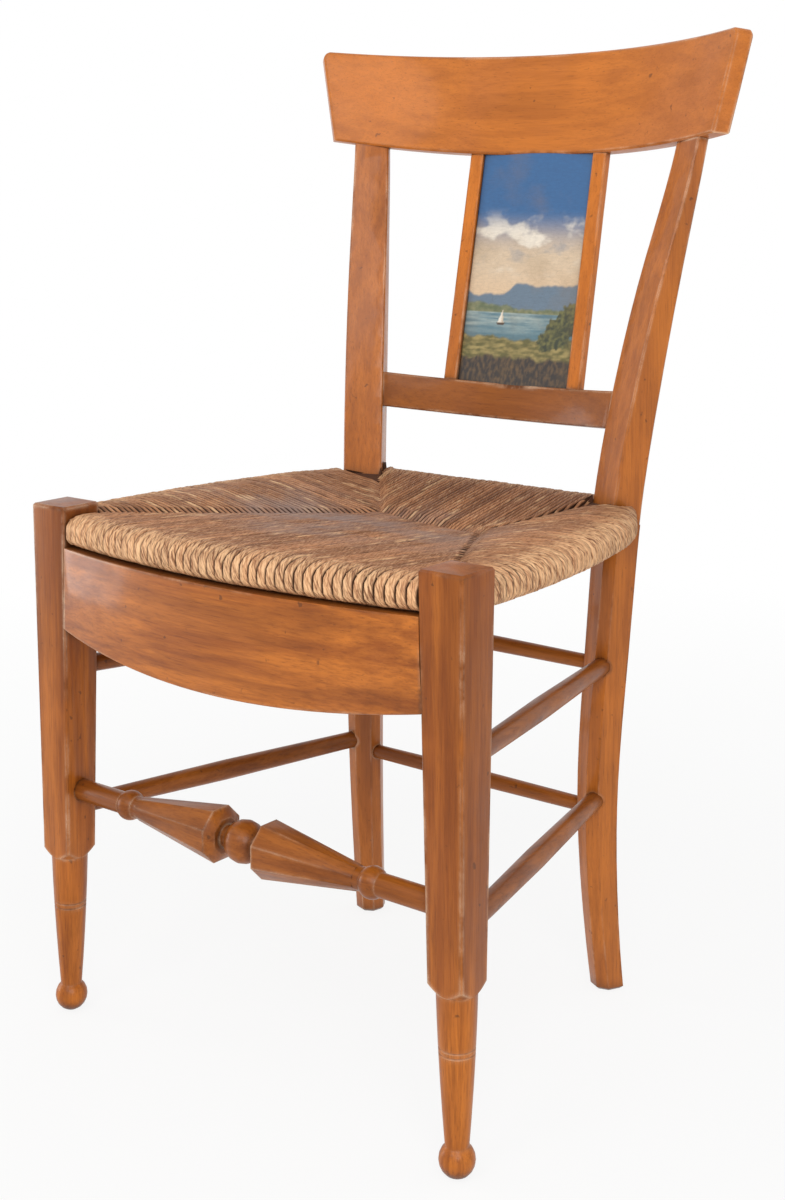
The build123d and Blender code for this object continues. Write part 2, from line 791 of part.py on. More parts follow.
# ------------------------------------------------------------- front legs ----
ball_centre = sqrt(ball_radius**2 - ball_flat**2)
ball_top = ball_centre + sqrt(ball_radius**2 - foot_neck_radius**2)
turning_top = shoulder_height - shoulder_fall
leg_corner = leg_top_width
with BuildPart() as front_leg:
    add(leg_square)
    chamfer(front_leg.edges().filter_by(lambda edge: edge.length > leg_top / 2), length=leg_arris)
    chamfer(front_leg.faces().sort_by(Axis.Z)[-1].edges(), length=leg_top_ease)
    with BuildSketch(Plane((leg_spread / 2, leg_line, 0), x_dir=(1, 0, 0), z_dir=(0, -1, 0))):
        with BuildLine():
            Line((0, 0), (ball_flat, 0))
            turned_arc(
                (ball_flat, 0),
                (ball_radius, ball_centre),
                (foot_neck_radius, ball_top),
                ball_bands,
            )
            turned_arc(
                (foot_neck_radius, ball_top),
                (foot_middle_radius, (ball_top + turning_top) / 2),
                (foot_top_radius, turning_top),
                neck_bands,
            )
            Polyline(
                (foot_top_radius, turning_top),
                (leg_shoulder_width / sqrt(2), shoulder_height),
                (leg_corner, shoulder_height + leg_corner),
                (leg_corner, leg_top),
                (0, leg_top),
                (0, 0),
            )
        make_face()
    revolve(axis=Axis((leg_spread / 2, leg_line, 0), (0, 0, 1)), mode=Mode.INTERSECT)
    for ring in range(2):
        ring_height = groove_height - ring * groove_pitch
        ring_line = between((ball_top, foot_neck_radius), (turning_top, foot_top_radius), ring_height)
        ring_line += foot_middle_radius - (foot_neck_radius + foot_top_radius) / 2
        with BuildSketch(Plane((leg_spread / 2, leg_line, ring_height), x_dir=(1, 0, 0), z_dir=(0, -1, 0))):
            with Locations((ring_line, 0)):
                RegularPolygon(groove_depth, 4)
        revolve(axis=Axis((leg_spread / 2, leg_line, 0), (0, 0, 1)), mode=Mode.SUBTRACT)
    add(peg(front_peg, front_peg_radius, front_peg_length, glue_gap), mode=Mode.SUBTRACT)
    add(tenon(front_rail_seat, seat_tenon, glue_gap), mode=Mode.SUBTRACT)
    add(tenon(side_rail_front, seat_tenon, glue_gap), mode=Mode.SUBTRACT)
    add(tenon(apron_seat, apron_tenon, glue_gap), mode=Mode.SUBTRACT)
    for start, end in side_sticks.values():
        add(socket(start, end, side_end_radius, side_parallel), mode=Mode.SUBTRACT)
twin(front_leg, "front_leg")


# ------------------------------------------------------------- back posts ----
crest_seat = Plane(
    post_point(crest_bottom, crest_lean) - up_back * crest_tenon_set,
    x_dir=outward,
    z_dir=post_point(crest_bottom + 1, crest_lean + tan(rake)) - post_point(crest_bottom, crest_lean),
)
rail_middle = -rail_height / 2
rail_seat_point = post_point(rail_top, rail_lean, -rail_post_width / 2) + up_back * rail_middle
rail_seat = Plane(rail_seat_point, x_dir=up_back, z_dir=(1, 0, 0))

with BuildPart() as back_post:
    add(post_lower.part)
    add(post_upper.part)
    add(over_crest.part, mode=Mode.SUBTRACT)
    add(tenon(crest_seat, crest_tenon))
    add(tenon(rail_seat, rail_tenon, glue_gap), mode=Mode.SUBTRACT)
    add(tenon(rear_rail_seat, rear_tenon, glue_gap), mode=Mode.SUBTRACT)
    add(tenon(side_rail_back, seat_tenon, glue_gap), mode=Mode.SUBTRACT)
    for start, end in side_sticks.values():
        add(socket(end, start, side_end_radius, side_parallel), mode=Mode.SUBTRACT)
    for start, end in back_sticks.values():
        add(socket(end, start, back_end_radius, back_parallel), mode=Mode.SUBTRACT)
twin(back_post, "back_post")


# ------------------------------------------------- crest and lower back rail ----
with BuildPart() as crest_rail:
    add(crest_blank.part)
    top_corners = crest_rail.edges().filter_by(
        lambda edge: edge.length < 2 * crest_thickness and edge.center().Z > crest_bottom + crest_height / 2
    )
    fillet(top_corners, radius=crest_corner)
    chamfer(
        crest_rail.edges().filter_by(lambda edge: edge.length > crest_half_bottom),
        length=crest_arris,
    )
    add(both(tenon(crest_seat, crest_tenon, glue_gap)), mode=Mode.SUBTRACT)
    add(both(stile_mortise()), mode=Mode.SUBTRACT)
    add(panel_blank(glue_gap), mode=Mode.SUBTRACT)
finish(crest_rail.part, "crest_rail")

with BuildPart() as lower_back_rail:
    add(rail_blank.part)
    chamfer(
        lower_back_rail.edges().filter_by(lambda edge: edge.length > rail_half),
        length=rail_arris,
    )
    add(both(post_square), mode=Mode.SUBTRACT)
    add(both(tenon(rail_seat, rail_tenon)))
    add(both(stile_mortise()), mode=Mode.SUBTRACT)
    add(panel_blank(glue_gap), mode=Mode.SUBTRACT)
finish(lower_back_rail.part, "lower_back_rail")


# -------------------------------------------------------- panel and stiles ----
with BuildPart() as painted_panel:
    add(panel_blank())
finish(painted_panel.part, "painted_panel")

with BuildPart() as panel_stile:
    add(stile_bar(stile_width, stile_thickness, crest_spare))
    chamfer(
        panel_stile.edges().filter_by(lambda edge: edge.length > panel_length / 2),
        length=stile_arris,
    )
    add(over_crest.part, mode=Mode.SUBTRACT)
    add(rail_blank.part, mode=Mode.SUBTRACT)
    split(bisect_by=Plane(rail_origin, z_dir=up_back), keep=Keep.TOP)
    add(stile_bar(*stile_tenon))
    add(panel_blank(glue_gap), mode=Mode.SUBTRACT)
twin(panel_stile, "panel_stile")


# -------------------------------------------------------------- rush seat ----
rush_front_line = front_rail_line - rush_overhang
rush_rear_line = rear_rail_line + rush_overhang
rush_back_start = ankle_line - rush_corner_depth
rush_post = post_point(rush_top, arm_lean)
rush_corner = post_point(rush_top, arm_lean + rush_wrap / 2, arm_width / 2 + rush_wrap)


def rush_rim(edge):
    """Whether an edge of the seat is on its open outline, and not inside a leg or a post."""
    return edge.length > rush_corner_depth


def hipped(level, drop, inset):
    """Body between a level and four planes that fall from inside the outline to the ridge."""
    front = rush_front_line - apron_bow + inset
    back = rush_rear_line - inset
    corners = [
        Vector(-rush_front_half + inset, front, level),
        Vector(rush_front_half - inset, front, level),
        Vector(rush_corner.X - inset, back, level),
        Vector(-rush_corner.X + inset, back, level),
    ]
    ridge_ends = [
        Vector(side * rush_ridge_half, leg_line + rush_ridge_back, level - drop) for side in (1, 1, -1, -1)
    ]
    with BuildPart() as body:
        with BuildSketch(Plane.XY.offset(level)):
            Polygon(*[(corner.X, corner.Y) for corner in corners], align=None)
        extrude(amount=-drop)
        for start, end, low in zip(corners, corners[1:] + corners[:1], ridge_ends):
            split(bisect_by=Plane(start, z_dir=(end - start).cross(low - start)), keep=Keep.TOP)
    return body.part


with BuildPart() as rush_seat:
    with BuildSketch(Plane.XY.offset(rush_bottom)):
        with BuildLine():
            front_edge = ThreePointArc(
                (-leg_inside, rush_front_line),
                (0, rush_front_line - apron_bow),
                (leg_inside, rush_front_line),
            )
            side_edge = ThreePointArc(
                (rush_front_half, leg_line + leg_top_width / 2 - leg_top_ease),
                (rush_waist_half, (leg_line + rush_back_start) / 2 + rush_waist_back),
                (rush_back_half, rush_back_start),
            )
            corner = TangentArc(
                side_edge @ 1,
                (rush_corner.X, rush_corner.Y),
                tangent=side_edge % 1,
            )
            Line(front_edge @ 1, side_edge @ 0)
            back_edge = Line((0, rush_rear_line), (back_spread / 2, rush_rear_line))
            Polyline(corner @ 1, (rush_post.X, rush_post.Y), back_edge @ 1)
            mirror(about=Plane.YZ)
        make_face()
    extrude(amount=rush_top - rush_bottom)
    chamfer(rush_seat.faces().sort_by(Axis.Z)[-1].edges().filter_by(rush_rim), length=rush_top_ease)
    chamfer(rush_seat.faces().sort_by(Axis.Z)[0].edges().filter_by(rush_rim), length=rush_bottom_ease)
    add(hipped(rush_top, rush_sag, rush_sag_inset), mode=Mode.SUBTRACT)
    add(hipped(rush_bottom, rush_hang, rush_hang_inset))
    add(both(leg_blank(rush_clearance)), mode=Mode.SUBTRACT)
    add(both(post_blank(rush_clearance)), mode=Mode.SUBTRACT)
    add(front_rail_blank(rush_clearance), mode=Mode.SUBTRACT)
    add(rear_rail_blank(rush_clearance), mode=Mode.SUBTRACT)
    add(both(side_rail_blank(rush_clearance)), mode=Mode.SUBTRACT)
finish(rush_seat.part, "rush_seat")
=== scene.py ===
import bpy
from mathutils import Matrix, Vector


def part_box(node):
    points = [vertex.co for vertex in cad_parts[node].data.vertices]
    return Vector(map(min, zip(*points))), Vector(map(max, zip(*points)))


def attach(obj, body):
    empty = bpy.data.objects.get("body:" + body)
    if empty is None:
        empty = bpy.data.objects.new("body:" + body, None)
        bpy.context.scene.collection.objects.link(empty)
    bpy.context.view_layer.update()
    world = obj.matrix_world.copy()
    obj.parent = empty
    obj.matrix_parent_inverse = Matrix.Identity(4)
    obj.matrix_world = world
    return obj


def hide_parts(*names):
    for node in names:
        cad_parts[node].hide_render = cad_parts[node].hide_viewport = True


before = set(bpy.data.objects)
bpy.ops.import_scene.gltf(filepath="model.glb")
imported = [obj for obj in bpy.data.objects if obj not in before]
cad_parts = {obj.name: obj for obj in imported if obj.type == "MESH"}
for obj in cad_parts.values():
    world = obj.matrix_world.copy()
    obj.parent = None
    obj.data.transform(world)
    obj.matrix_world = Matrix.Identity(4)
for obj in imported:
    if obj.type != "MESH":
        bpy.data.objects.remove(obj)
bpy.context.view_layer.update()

import random
from math import cos, pi, radians, sin, sqrt

import bmesh
import bpy
from bpy.props import (
    FloatProperty,
    FloatVectorProperty,
    IntProperty,
    PointerProperty,
)
from mathutils import Matrix, Vector, noise
from mathutils.bvhtree import BVHTree

bl_info = {
    "name": "Rush-seated Side Chair",
    "version": (1, 0, 0),
    "blender": (4, 5, 0),
    "location": "View3D > Sidebar > Chair",
    "description": "Dresses a side chair: polished wood, rush seat, painted panel",
    "category": "Object",
}

# The view: place in metres, turn in degrees, lens and film in millimetres
CAMERA_PLACE = (0.95879, -1.22266, 0.73776)
CAMERA_YAW, CAMERA_PITCH, CAMERA_ROLL = 38.44, -2.96, -0.16
CAMERA_LENS = 52.316
CAMERA_SHIFT = -0.27549
FILM_WIDTH, FILM_HEIGHT = 28, 36
FLOOR_RADIUS = 7.0

# Rush seat, in metres
SPANS = {  # from the first strand's edge to the last one's, for each side
    "front": (-0.1915, 0.1915),
    "back": (-0.1325, 0.1325),
    "left": (-0.187, 0.1135),
    "right": (-0.187, 0.1135),
}
RIM_BEND = 0.021        # how far in from the rim a strand lies flat
RIM_POINTS = 9          # points of a strand round the rim
SHORTEST_STRAND = 0.006
SEAM_DIP = 0.0035       # how far a strand's end sinks into the seam
LINING_DEPTH = 0.0022   # stuffing under the strands' surface
LINING_POINTS = 26
WAD_CORNERS = (         # fills the corner in front of the right post, seen from above
    (0.110, 0.108),
    (0.1235, 0.1215),
    (0.1255, 0.1215),
    (0.154, 0.1035),
    (0.150, 0.096),
    (0.118, 0.098),
)
# Its underside and its top: read from above or not, height where there is no rush
# to read, and how far it lies off the rush
WAD_FACES = ((False, 0.415, 0.004), (True, 0.446, -0.0035))

# Painted film, in metres
FILM_HALF = 0.0645      # half its width
FILM_FOOT, FILM_HEAD = 0.53, 0.768
FILM_MARGIN = 0.001     # inside the top and bottom of the board
VIEW_FOOT = 0.538       # height where the painted view starts


def linear(code):
    """Turns an sRGB hex colour into linear red, green and blue."""
    values = [int(code[i : i + 2], 16) / 255 for i in (1, 3, 5)]
    return tuple(
        v / 12.92 if v <= 0.04045 else ((v + 0.055) / 1.055) ** 2.4 for v in values
    )


def hue(name, code, description):
    return FloatVectorProperty(
        name=name,
        description=description,
        subtype="COLOR",
        size=3,
        min=0,
        max=1,
        default=linear(code),
    )


def length(name, metres, description):
    return FloatProperty(
        name=name,
        description=description,
        default=metres,
        min=0,
        unit="LENGTH",
        precision=4,
    )


def share(name, value, description):
    return FloatProperty(
        name=name,
        description=description,
        default=value,
        min=0,
        max=1,
        subtype="FACTOR",
    )


class WoodFinish(bpy.types.PropertyGroup):
    honey: hue("Honey", "#D0782A", "Colour of the polished wood between its figure")
    brown: hue("Brown", "#8C430F", "Colour of the darker bands of the figure")
    # Painted sheen: pink patches that stand for the polish's reflection.
    pink_sheen: hue("Rose", "#BE7040", "Cooler, pinker patches of old polish")
    worn: hue("Worn edge", "#E6C8A8", "Bare wood where hands and feet rub the edges")
    # Also the colour of painted shade in the hollows between parts.
    dirt_and_shade: hue("Dirt", "#3A2213", "Old wax and dust in the joints")
    figure: length("Figure width", 0.013, "Width of the bands of the figure")
    pore: length("Pore width", 0.0009, "Width of the pore lines")
    ease: length("Edge rounding", 0.0015, "Radius worn onto the arrises")
    wear: share("Edge wear", 0.7, "How much of the arrises is rubbed pale")


class RushWork(bpy.types.PropertyGroup):
    straw: hue("Straw", "#CC8F62", "Middle colour of the strands")
    pale: hue("Pale straw", "#F8C896", "Bright lengths of straw")
    shade: hue("Shade", "#62391F", "Brown lengths and the shade between strands")
    grey: hue("Worn grey", "#9C8A84", "Grey of the part that is sat on")
    pitch: length("Strand pitch", 0.0044, "Distance from strand to strand")
    strand: length("Strand radius", 0.00212, "Radius of one strand")
    swell: length("Coil radius", 0.0029, "Radius of a strand where two wrap the rail")
    step: length("Step", 0.011, "Distance between the points of a strand")
    facets: IntProperty(
        name="Facets", description="Sides of a strand", default=6, min=3, max=12
    )
    seed: IntProperty(
        name="Seed", description="Start of the unevenness", default=7, min=0
    )
    uneven: share("Unevenness", 0.2, "How much the strands differ in thickness")


class PanelPainting(bpy.types.PropertyGroup):
    sky: hue("Sky", "#2F5F90", "Top of the sky")
    haze: hue("Haze", "#D6BFA2", "Low sky and clouds")
    hill: hue("Hills", "#66798A", "Far ridge")
    water: hue("Water", "#537784", "Lake")
    meadow: hue("Meadow", "#5F5A2C", "Strip on the near shore")
    ground: hue("Ground", "#2B2420", "Foreground")
    cell: length("Paint grid", 0.0011, "Size of the cells that carry the colours")
    film: length("Film", 0.0002, "Thickness of the paint")
    crack: length("Crackle", 0.006, "Size of the crackle in the varnish")


class StageSetup(bpy.types.PropertyGroup):
    floor: hue("Floor", "#EEEEEC", "Colour of the floor")
    key: FloatProperty(
        name="Key",
        description="Power of the large lamp by the camera",
        default=27,
        min=0,
    )
    front: FloatProperty(
        name="Front", description="Power of the lamp in front", default=9, min=0
    )
    low: FloatProperty(
        name="Low", description="Power of the low lamp on the left", default=7, min=0
    )
    sky: FloatProperty(
        name="Sky", description="Strength of the light all round", default=0.62, min=0
    )


def add(tree, kind, inputs=None, **settings):
    """Adds a node: settings are its own, inputs are values or the sockets feeding it."""
    node = tree.nodes.new(kind)
    for key, value in settings.items():
        setattr(node, key, value)
    for key, value in (inputs or {}).items():
        if isinstance(value, bpy.types.NodeSocket):
            tree.links.new(value, node.inputs[key])
        else:
            node.inputs[key].default_value = value
    return node


def placed(name, data):
    """An object at the origin, in the scene."""
    thing = bpy.data.objects.new(name, data)
    bpy.context.scene.collection.objects.link(thing)
    return thing


def new_material(name):
    """An empty material with its shader, which the caller feeds."""
    material = bpy.data.materials.new(name)
    material.use_nodes = True
    tree = material.node_tree
    tree.nodes.clear()
    shader = add(tree, "ShaderNodeBsdfPrincipled")
    add(tree, "ShaderNodeOutputMaterial", {"Surface": shader.outputs[0]})
    return material, tree, shader


def blended(tree, factor, first, second, how="MIX"):
    """Mixes two colours and gives the result's socket."""
    node = add(
        tree,
        "ShaderNodeMix",
        {0: factor, 6: first, 7: second},
        data_type="RGBA",
        blend_type=how,
    )
    return node.outputs[2]


def spread(tree, value, low, high, to_low=0.0, to_high=1.0):
    """Stretches a value from one range to another and gives the socket."""
    return add(
        tree,
        "ShaderNodeMapRange",
        {0: value, 1: low, 2: high, 3: to_low, 4: to_high},
    ).outputs[0]


def fruitwood(
    name, grain, tone=1.0, sheen_share=0.5, bold=0.5, rub=0.004, aged=0.0, gloss=0.15
):
    """Cherry, hand-planed, stained and wax-polished: honey brown with slow bands of
    figure, fine pore lines along the grain, pink patches of painted sheen, a soft
    gloss, pale rubbed arrises, and dark wax in the joints with painted shade in the
    hollows between parts."""
    wood = bpy.context.scene.chair_wood
    material, tree, shader = new_material(name)
    across, along = 1 / wood.figure, 1 / (wood.figure * 20)
    stretch = [along if axis == grain else across for axis in "XYZ"]
    place = add(tree, "ShaderNodeTexCoord").outputs["Object"]
    laid = add(
        tree,
        "ShaderNodeMapping",
        {"Vector": place, "Scale": stretch},
    ).outputs[0]
    figure = add(
        tree,
        "ShaderNodeTexNoise",
        {"Vector": laid, "Scale": 1.0, "Detail": 5, "Roughness": 0.6, "Distortion": 0.45},
    ).outputs[0]
    streak = add(
        tree,
        "ShaderNodeTexNoise",
        {"Vector": laid, "Scale": 6.0, "Detail": 4, "Roughness": 0.7},
    ).outputs[0]
    pore = add(
        tree,
        "ShaderNodeTexNoise",
        {"Vector": laid, "Scale": wood.figure / wood.pore, "Detail": 2},
    ).outputs[0]
    patch = add(
        tree,
        "ShaderNodeTexNoise",
        {"Vector": place, "Scale": 8.5, "Detail": 3, "Roughness": 0.55},
    ).outputs[0]
    cloud = add(
        tree,
        "ShaderNodeTexNoise",
        {"Vector": place, "Scale": 31.0, "Detail": 4, "Roughness": 0.65},
    ).outputs[0]

    def toned(colour, by=1.0):
        return (*[c * tone * by for c in colour], 1)

    bands = spread(tree, figure, 0.4, 0.62, 0, bold)
    colour = blended(tree, bands, toned(wood.honey), toned(wood.brown))
    # Painted sheen: pink patches mixed in where the patch noise is high.
    pink_sheen = spread(tree, patch, 0.5, 0.72, 0, sheen_share)
    colour = blended(tree, pink_sheen, colour, toned(wood.pink_sheen))
    gold = spread(tree, patch, 0.44, 0.28, 0, 0.45)
    colour = blended(tree, gold, colour, toned(wood.honey, 1.22))
    heart = add(
        tree,
        "ShaderNodeTexNoise",
        {"Vector": laid, "Scale": 0.55, "Detail": 3, "Roughness": 0.5},
    ).outputs[0]
    dark = spread(tree, heart, 0.52, 0.7, 0, bold * 0.7)
    colour = blended(tree, dark, colour, toned(wood.brown, 0.6))
    lines = spread(tree, streak, 0.45, 0.75, 0, bold * 0.75)
    colour = blended(tree, lines, colour, toned(wood.brown, 0.6))
    dashes = spread(tree, pore, 0.6, 0.74, 0, 0.35)
    colour = blended(tree, dashes, colour, toned(wood.brown, 0.36))

    # Old polish darkens towards the top of the legs, where it isn't rubbed off.
    tall = add(tree, "ShaderNodeSeparateXYZ", {"Vector": place}).outputs["Z"]
    smoke = add(
        tree,
        "ShaderNodeMath",
        {
            0: spread(tree, tall, 0.12, 0.4, 0, aged),
            1: spread(tree, patch, 0.3, 0.6, 0.6, 1.0),
        },
        operation="MULTIPLY",
    ).outputs[0]
    colour = blended(tree, smoke, colour, toned(wood.brown, 0.6))
    # Small knocks and stains.
    knock = add(
        tree,
        "ShaderNodeTexNoise",
        {"Vector": place, "Scale": 120.0, "Detail": 2, "Roughness": 0.5},
    ).outputs[0]
    colour = blended(
        tree, spread(tree, knock, 0.71, 0.76, 0, 0.55), colour, (*wood.dirt_and_shade, 1)
    )

    # Arrises: where the rounded normal leaves the face's own one. Some are darkened,
    # others rubbed pale.
    rounded = add(tree, "ShaderNodeBevel", {"Radius": rub}, samples=6).outputs[0]
    plain = add(tree, "ShaderNodeNewGeometry").outputs["Normal"]
    facing = add(
        tree, "ShaderNodeVectorMath", {0: rounded, 1: plain}, operation="DOT_PRODUCT"
    ).outputs["Value"]
    edge = spread(tree, facing, 0.995, 0.92)
    often = add(
        tree,
        "ShaderNodeMath",
        {
            0: spread(tree, patch, 0.42, 0.6),
            1: spread(tree, cloud, 0.4, 0.6, 0, wood.wear),
        },
        operation="MULTIPLY",
    ).outputs[0]
    for places, finish in (
        (spread(tree, cloud, 0.56, 0.42, 0, 0.55), wood.dirt_and_shade),
        (often, wood.worn),
    ):
        worn = add(
            tree, "ShaderNodeMath", {0: edge, 1: places}, operation="MULTIPLY"
        ).outputs[0]
        colour = blended(tree, worn, colour, (*finish, 1))
    # Dark wax in the joints, and painted shade in the hollows between parts: darker where
    # ambient occlusion is low.
    hollow = add(tree, "ShaderNodeAmbientOcclusion", {"Distance": 0.018}, samples=6)
    joint_dirt_and_shade = spread(tree, hollow.outputs["AO"], 0.8, 0.25, 0, 0.75)
    colour = blended(tree, joint_dirt_and_shade, colour, (*wood.dirt_and_shade, 1))

    height = add(
        tree, "ShaderNodeMath", {0: streak, 1: dashes}, operation="SUBTRACT"
    ).outputs[0]
    bump = add(
        tree, "ShaderNodeBump", {"Strength": 0.3, "Distance": 0.0004, "Height": height}
    ).outputs[0]
    tree.links.new(colour, shader.inputs["Base Color"])
    tree.links.new(spread(tree, cloud, 0.3, 0.7, 0.3, 0.48), shader.inputs["Roughness"])
    tree.links.new(bump, shader.inputs["Normal"])
    shader.inputs["IOR"].default_value = 1.5
    shader.inputs["Specular IOR Level"].default_value = 0.2
    shader.inputs["Coat Weight"].default_value = gloss
    shader.inputs["Coat Roughness"].default_value = 0.12
    return material


def raw_beech():
    """Beech, sawn and left bare under the rush: pale, dry and dull."""
    material, tree, shader = new_material("bare_beech_rail")
    place = add(tree, "ShaderNodeTexCoord").outputs["Object"]
    laid = add(
        tree, "ShaderNodeMapping", {"Vector": place, "Scale": (20, 300, 300)}
    ).outputs[0]
    saw = add(tree, "ShaderNodeTexNoise", {"Vector": laid, "Scale": 1.0}).outputs[0]
    colour = blended(
        tree, saw, (*linear("#C4A27A"), 1), (*linear("#A07F58"), 1)
    )
    tree.links.new(colour, shader.inputs["Base Color"])
    bump = add(tree, "ShaderNodeBump", {"Strength": 0.3, "Height": saw}).outputs[0]
    tree.links.new(bump, shader.inputs["Normal"])
    shader.inputs["Roughness"].default_value = 0.8
    return material


def merged_copy(node):
    """A CAD node's triangles as one joined skin with its flat faces whole."""
    skin = bmesh.new()
    skin.from_mesh(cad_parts[node].data)
    bmesh.ops.remove_doubles(skin, verts=skin.verts, dist=3e-6)
    bmesh.ops.dissolve_limit(
        skin, angle_limit=radians(0.4), verts=skin.verts, edges=skin.edges
    )
    return skin


def finished(piece, node):
    """Puts a piece on the frame in place of its CAD node."""
    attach(piece, "root")
    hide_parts(node)
    return piece


def settled(piece, sharp=35):
    """Applies the piece's modifiers and smooths all but its sharp edges."""
    graph = bpy.context.evaluated_depsgraph_get()
    mesh = bpy.data.meshes.new_from_object(piece.evaluated_get(graph))
    piece.modifiers.clear()
    piece.data = mesh
    mesh.shade_smooth()
    mesh.set_sharp_from_angle(angle=radians(sharp))
    return piece


def wooden_piece(node, material):
    """The CAD piece with its arrises worn round."""
    skin = merged_copy(node)
    mesh = bpy.data.meshes.new(node + "_worn")
    skin.to_mesh(mesh)
    skin.free()
    piece = placed(node + "_worn", mesh)
    ease = piece.modifiers.new("ease", "BEVEL")
    ease.width = bpy.context.scene.chair_wood.ease
    ease.segments = 3
    ease.limit_method = "ANGLE"
    ease.angle_limit = radians(32)
    ease.use_clamp_overlap = True
    bpy.context.view_layer.update()
    settled(piece)
    piece.data.materials.clear()
    piece.data.materials.append(material)
    return finished(piece, node)


def seen_directly(tree):
    """1 on rays from the camera and off shiny surfaces, 0 on all others."""
    path = add(tree, "ShaderNodeLightPath")
    return add(
        tree,
        "ShaderNodeMath",
        {0: path.outputs["Is Camera Ray"], 1: path.outputs["Is Glossy Ray"]},
        operation="MAXIMUM",
    ).outputs[0]


class CHAIR_OT_stage(bpy.types.Operator):
    """Makes the pale floor, the soft lamps and the camera"""

    bl_idname = "chair.stage"
    bl_label = "Stage"

    def execute(self, context):
        setup = context.scene.chair_stage
        skin = bmesh.new()
        bmesh.ops.create_circle(skin, cap_ends=True, segments=96, radius=FLOOR_RADIUS)
        mesh = bpy.data.meshes.new("floor")
        skin.to_mesh(mesh)
        skin.free()
        floor = placed("floor", mesh)
        # Matt pale floor. Seen directly it is lifted to white away from the chair,
        # and near it keeps a faint share of its own light, so the shadow shows.
        material = bpy.data.materials.new("matt_pale_floor")
        material.use_nodes = True
        tree = material.node_tree
        tree.nodes.clear()
        matt = add(tree, "ShaderNodeBsdfDiffuse", {"Color": (*setup.floor, 1)})
        white = add(tree, "ShaderNodeEmission", {"Strength": 1.0})
        seen = seen_directly(tree)
        place = add(tree, "ShaderNodeTexCoord").outputs["Object"]
        far = add(tree, "ShaderNodeVectorMath", {0: place}, operation="LENGTH")
        lifted = spread(tree, far.outputs["Value"], 0.45, 1.7, 0.86, 1.0)
        factor = add(
            tree, "ShaderNodeMath", {0: lifted, 1: seen}, operation="MULTIPLY"
        ).outputs[0]
        both = add(
            tree,
            "ShaderNodeMixShader",
            {0: factor, 1: matt.outputs[0], 2: white.outputs[0]},
        )
        add(tree, "ShaderNodeOutputMaterial", {"Surface": both.outputs[0]})
        mesh.materials.append(material)

        world = bpy.data.worlds.new("studio")
        world.use_nodes = True
        tree = world.node_tree
        tree.nodes.clear()
        seen = seen_directly(tree)
        strength = spread(tree, seen, 0, 1, setup.sky, 1.0)
        sky = add(
            tree, "ShaderNodeBackground", {"Color": (1, 1, 1, 1), "Strength": strength}
        )
        add(tree, "ShaderNodeOutputWorld", {"Surface": sky.outputs[0]})
        context.scene.world = world

        for name, place, aim, size, power in (
            ("key", (1.5, -1.7, 1.5), (0, 0, 0.4), 1.6, setup.key),
            ("front", (0.1, -2.2, 1.8), (0, 0, 0.5), 1.2, setup.front),
            ("low", (-1.9, -0.8, 0.35), (0, -0.1, 0.35), 0.9, setup.low),
        ):
            lamp = bpy.data.lights.new(name, "AREA")
            lamp.shape, lamp.size, lamp.energy = "DISK", size, power
            holder = placed(name, lamp)
            holder.location = place
            look = Vector(aim) - Vector(place)
            holder.rotation_euler = look.to_track_quat("-Z", "Y").to_euler()

        yaw = radians(CAMERA_YAW)
        pitch = radians(CAMERA_PITCH)
        roll = radians(CAMERA_ROLL)
        ahead = Vector((-sin(yaw) * cos(pitch), cos(yaw) * cos(pitch), sin(pitch)))
        level = Vector((cos(yaw), sin(yaw), 0))
        above = level.cross(ahead)
        right = level * cos(roll) + above * sin(roll)
        up = above * cos(roll) - level * sin(roll)
        lens = bpy.data.cameras.new("camera")
        lens.sensor_fit = "VERTICAL"
        lens.sensor_height, lens.sensor_width = FILM_HEIGHT, FILM_WIDTH
        lens.lens, lens.shift_y = CAMERA_LENS, CAMERA_SHIFT
        camera = placed("camera", lens)
        turn = Matrix((right, up, -ahead)).transposed().to_4x4()
        camera.matrix_world = Matrix.Translation(Vector(CAMERA_PLACE)) @ turn
        context.scene.camera = camera
        context.scene.view_settings.view_transform = "Standard"
        return {"FINISHED"}


class CHAIR_OT_legs(bpy.types.Operator):
    """Rounds and polishes the two front legs"""

    bl_idname = "chair.legs"
    bl_label = "Front Legs"

    def execute(self, context):
        wood = fruitwood(
            "waxed_cherry_legs", "Z", tone=0.84, sheen_share=0.2, bold=0.7, rub=0.006, aged=0.5
        )
        for side in ("left", "right"):
            wooden_piece("front_leg_" + side, wood)
        return {"FINISHED"}


class CHAIR_OT_posts(bpy.types.Operator):
    """Rounds and polishes the two curved back posts"""

    bl_idname = "chair.posts"
    bl_label = "Back Posts"

    def execute(self, context):
        wood = fruitwood(
            "waxed_cherry_posts", "Z", tone=0.84, sheen_share=0.4, bold=0.45, gloss=0.35
        )
        for side in ("left", "right"):
            wooden_piece("back_post_" + side, wood)
        return {"FINISHED"}


class CHAIR_OT_back_rails(bpy.types.Operator):
    """Rounds and polishes the crest, the lower rail and the two stiles"""

    bl_idname = "chair.back_rails"
    bl_label = "Crest, Rail and Stiles"

    def execute(self, context):
        crest = fruitwood(
            "waxed_cherry_crest", "X", tone=0.92, sheen_share=0.35, bold=0.28, gloss=0.25
        )
        wooden_piece("crest_rail", crest)
        rail = fruitwood("waxed_cherry_lower_rail", "X", tone=0.56, sheen_share=0.5, bold=0.4)
        wooden_piece("lower_back_rail", rail)
        stile = fruitwood("waxed_cherry_stiles", "Z", tone=1.0, sheen_share=0.25, bold=0.3)
        for side in ("left", "right"):
            wooden_piece("panel_stile_" + side, stile)
        return {"FINISHED"}


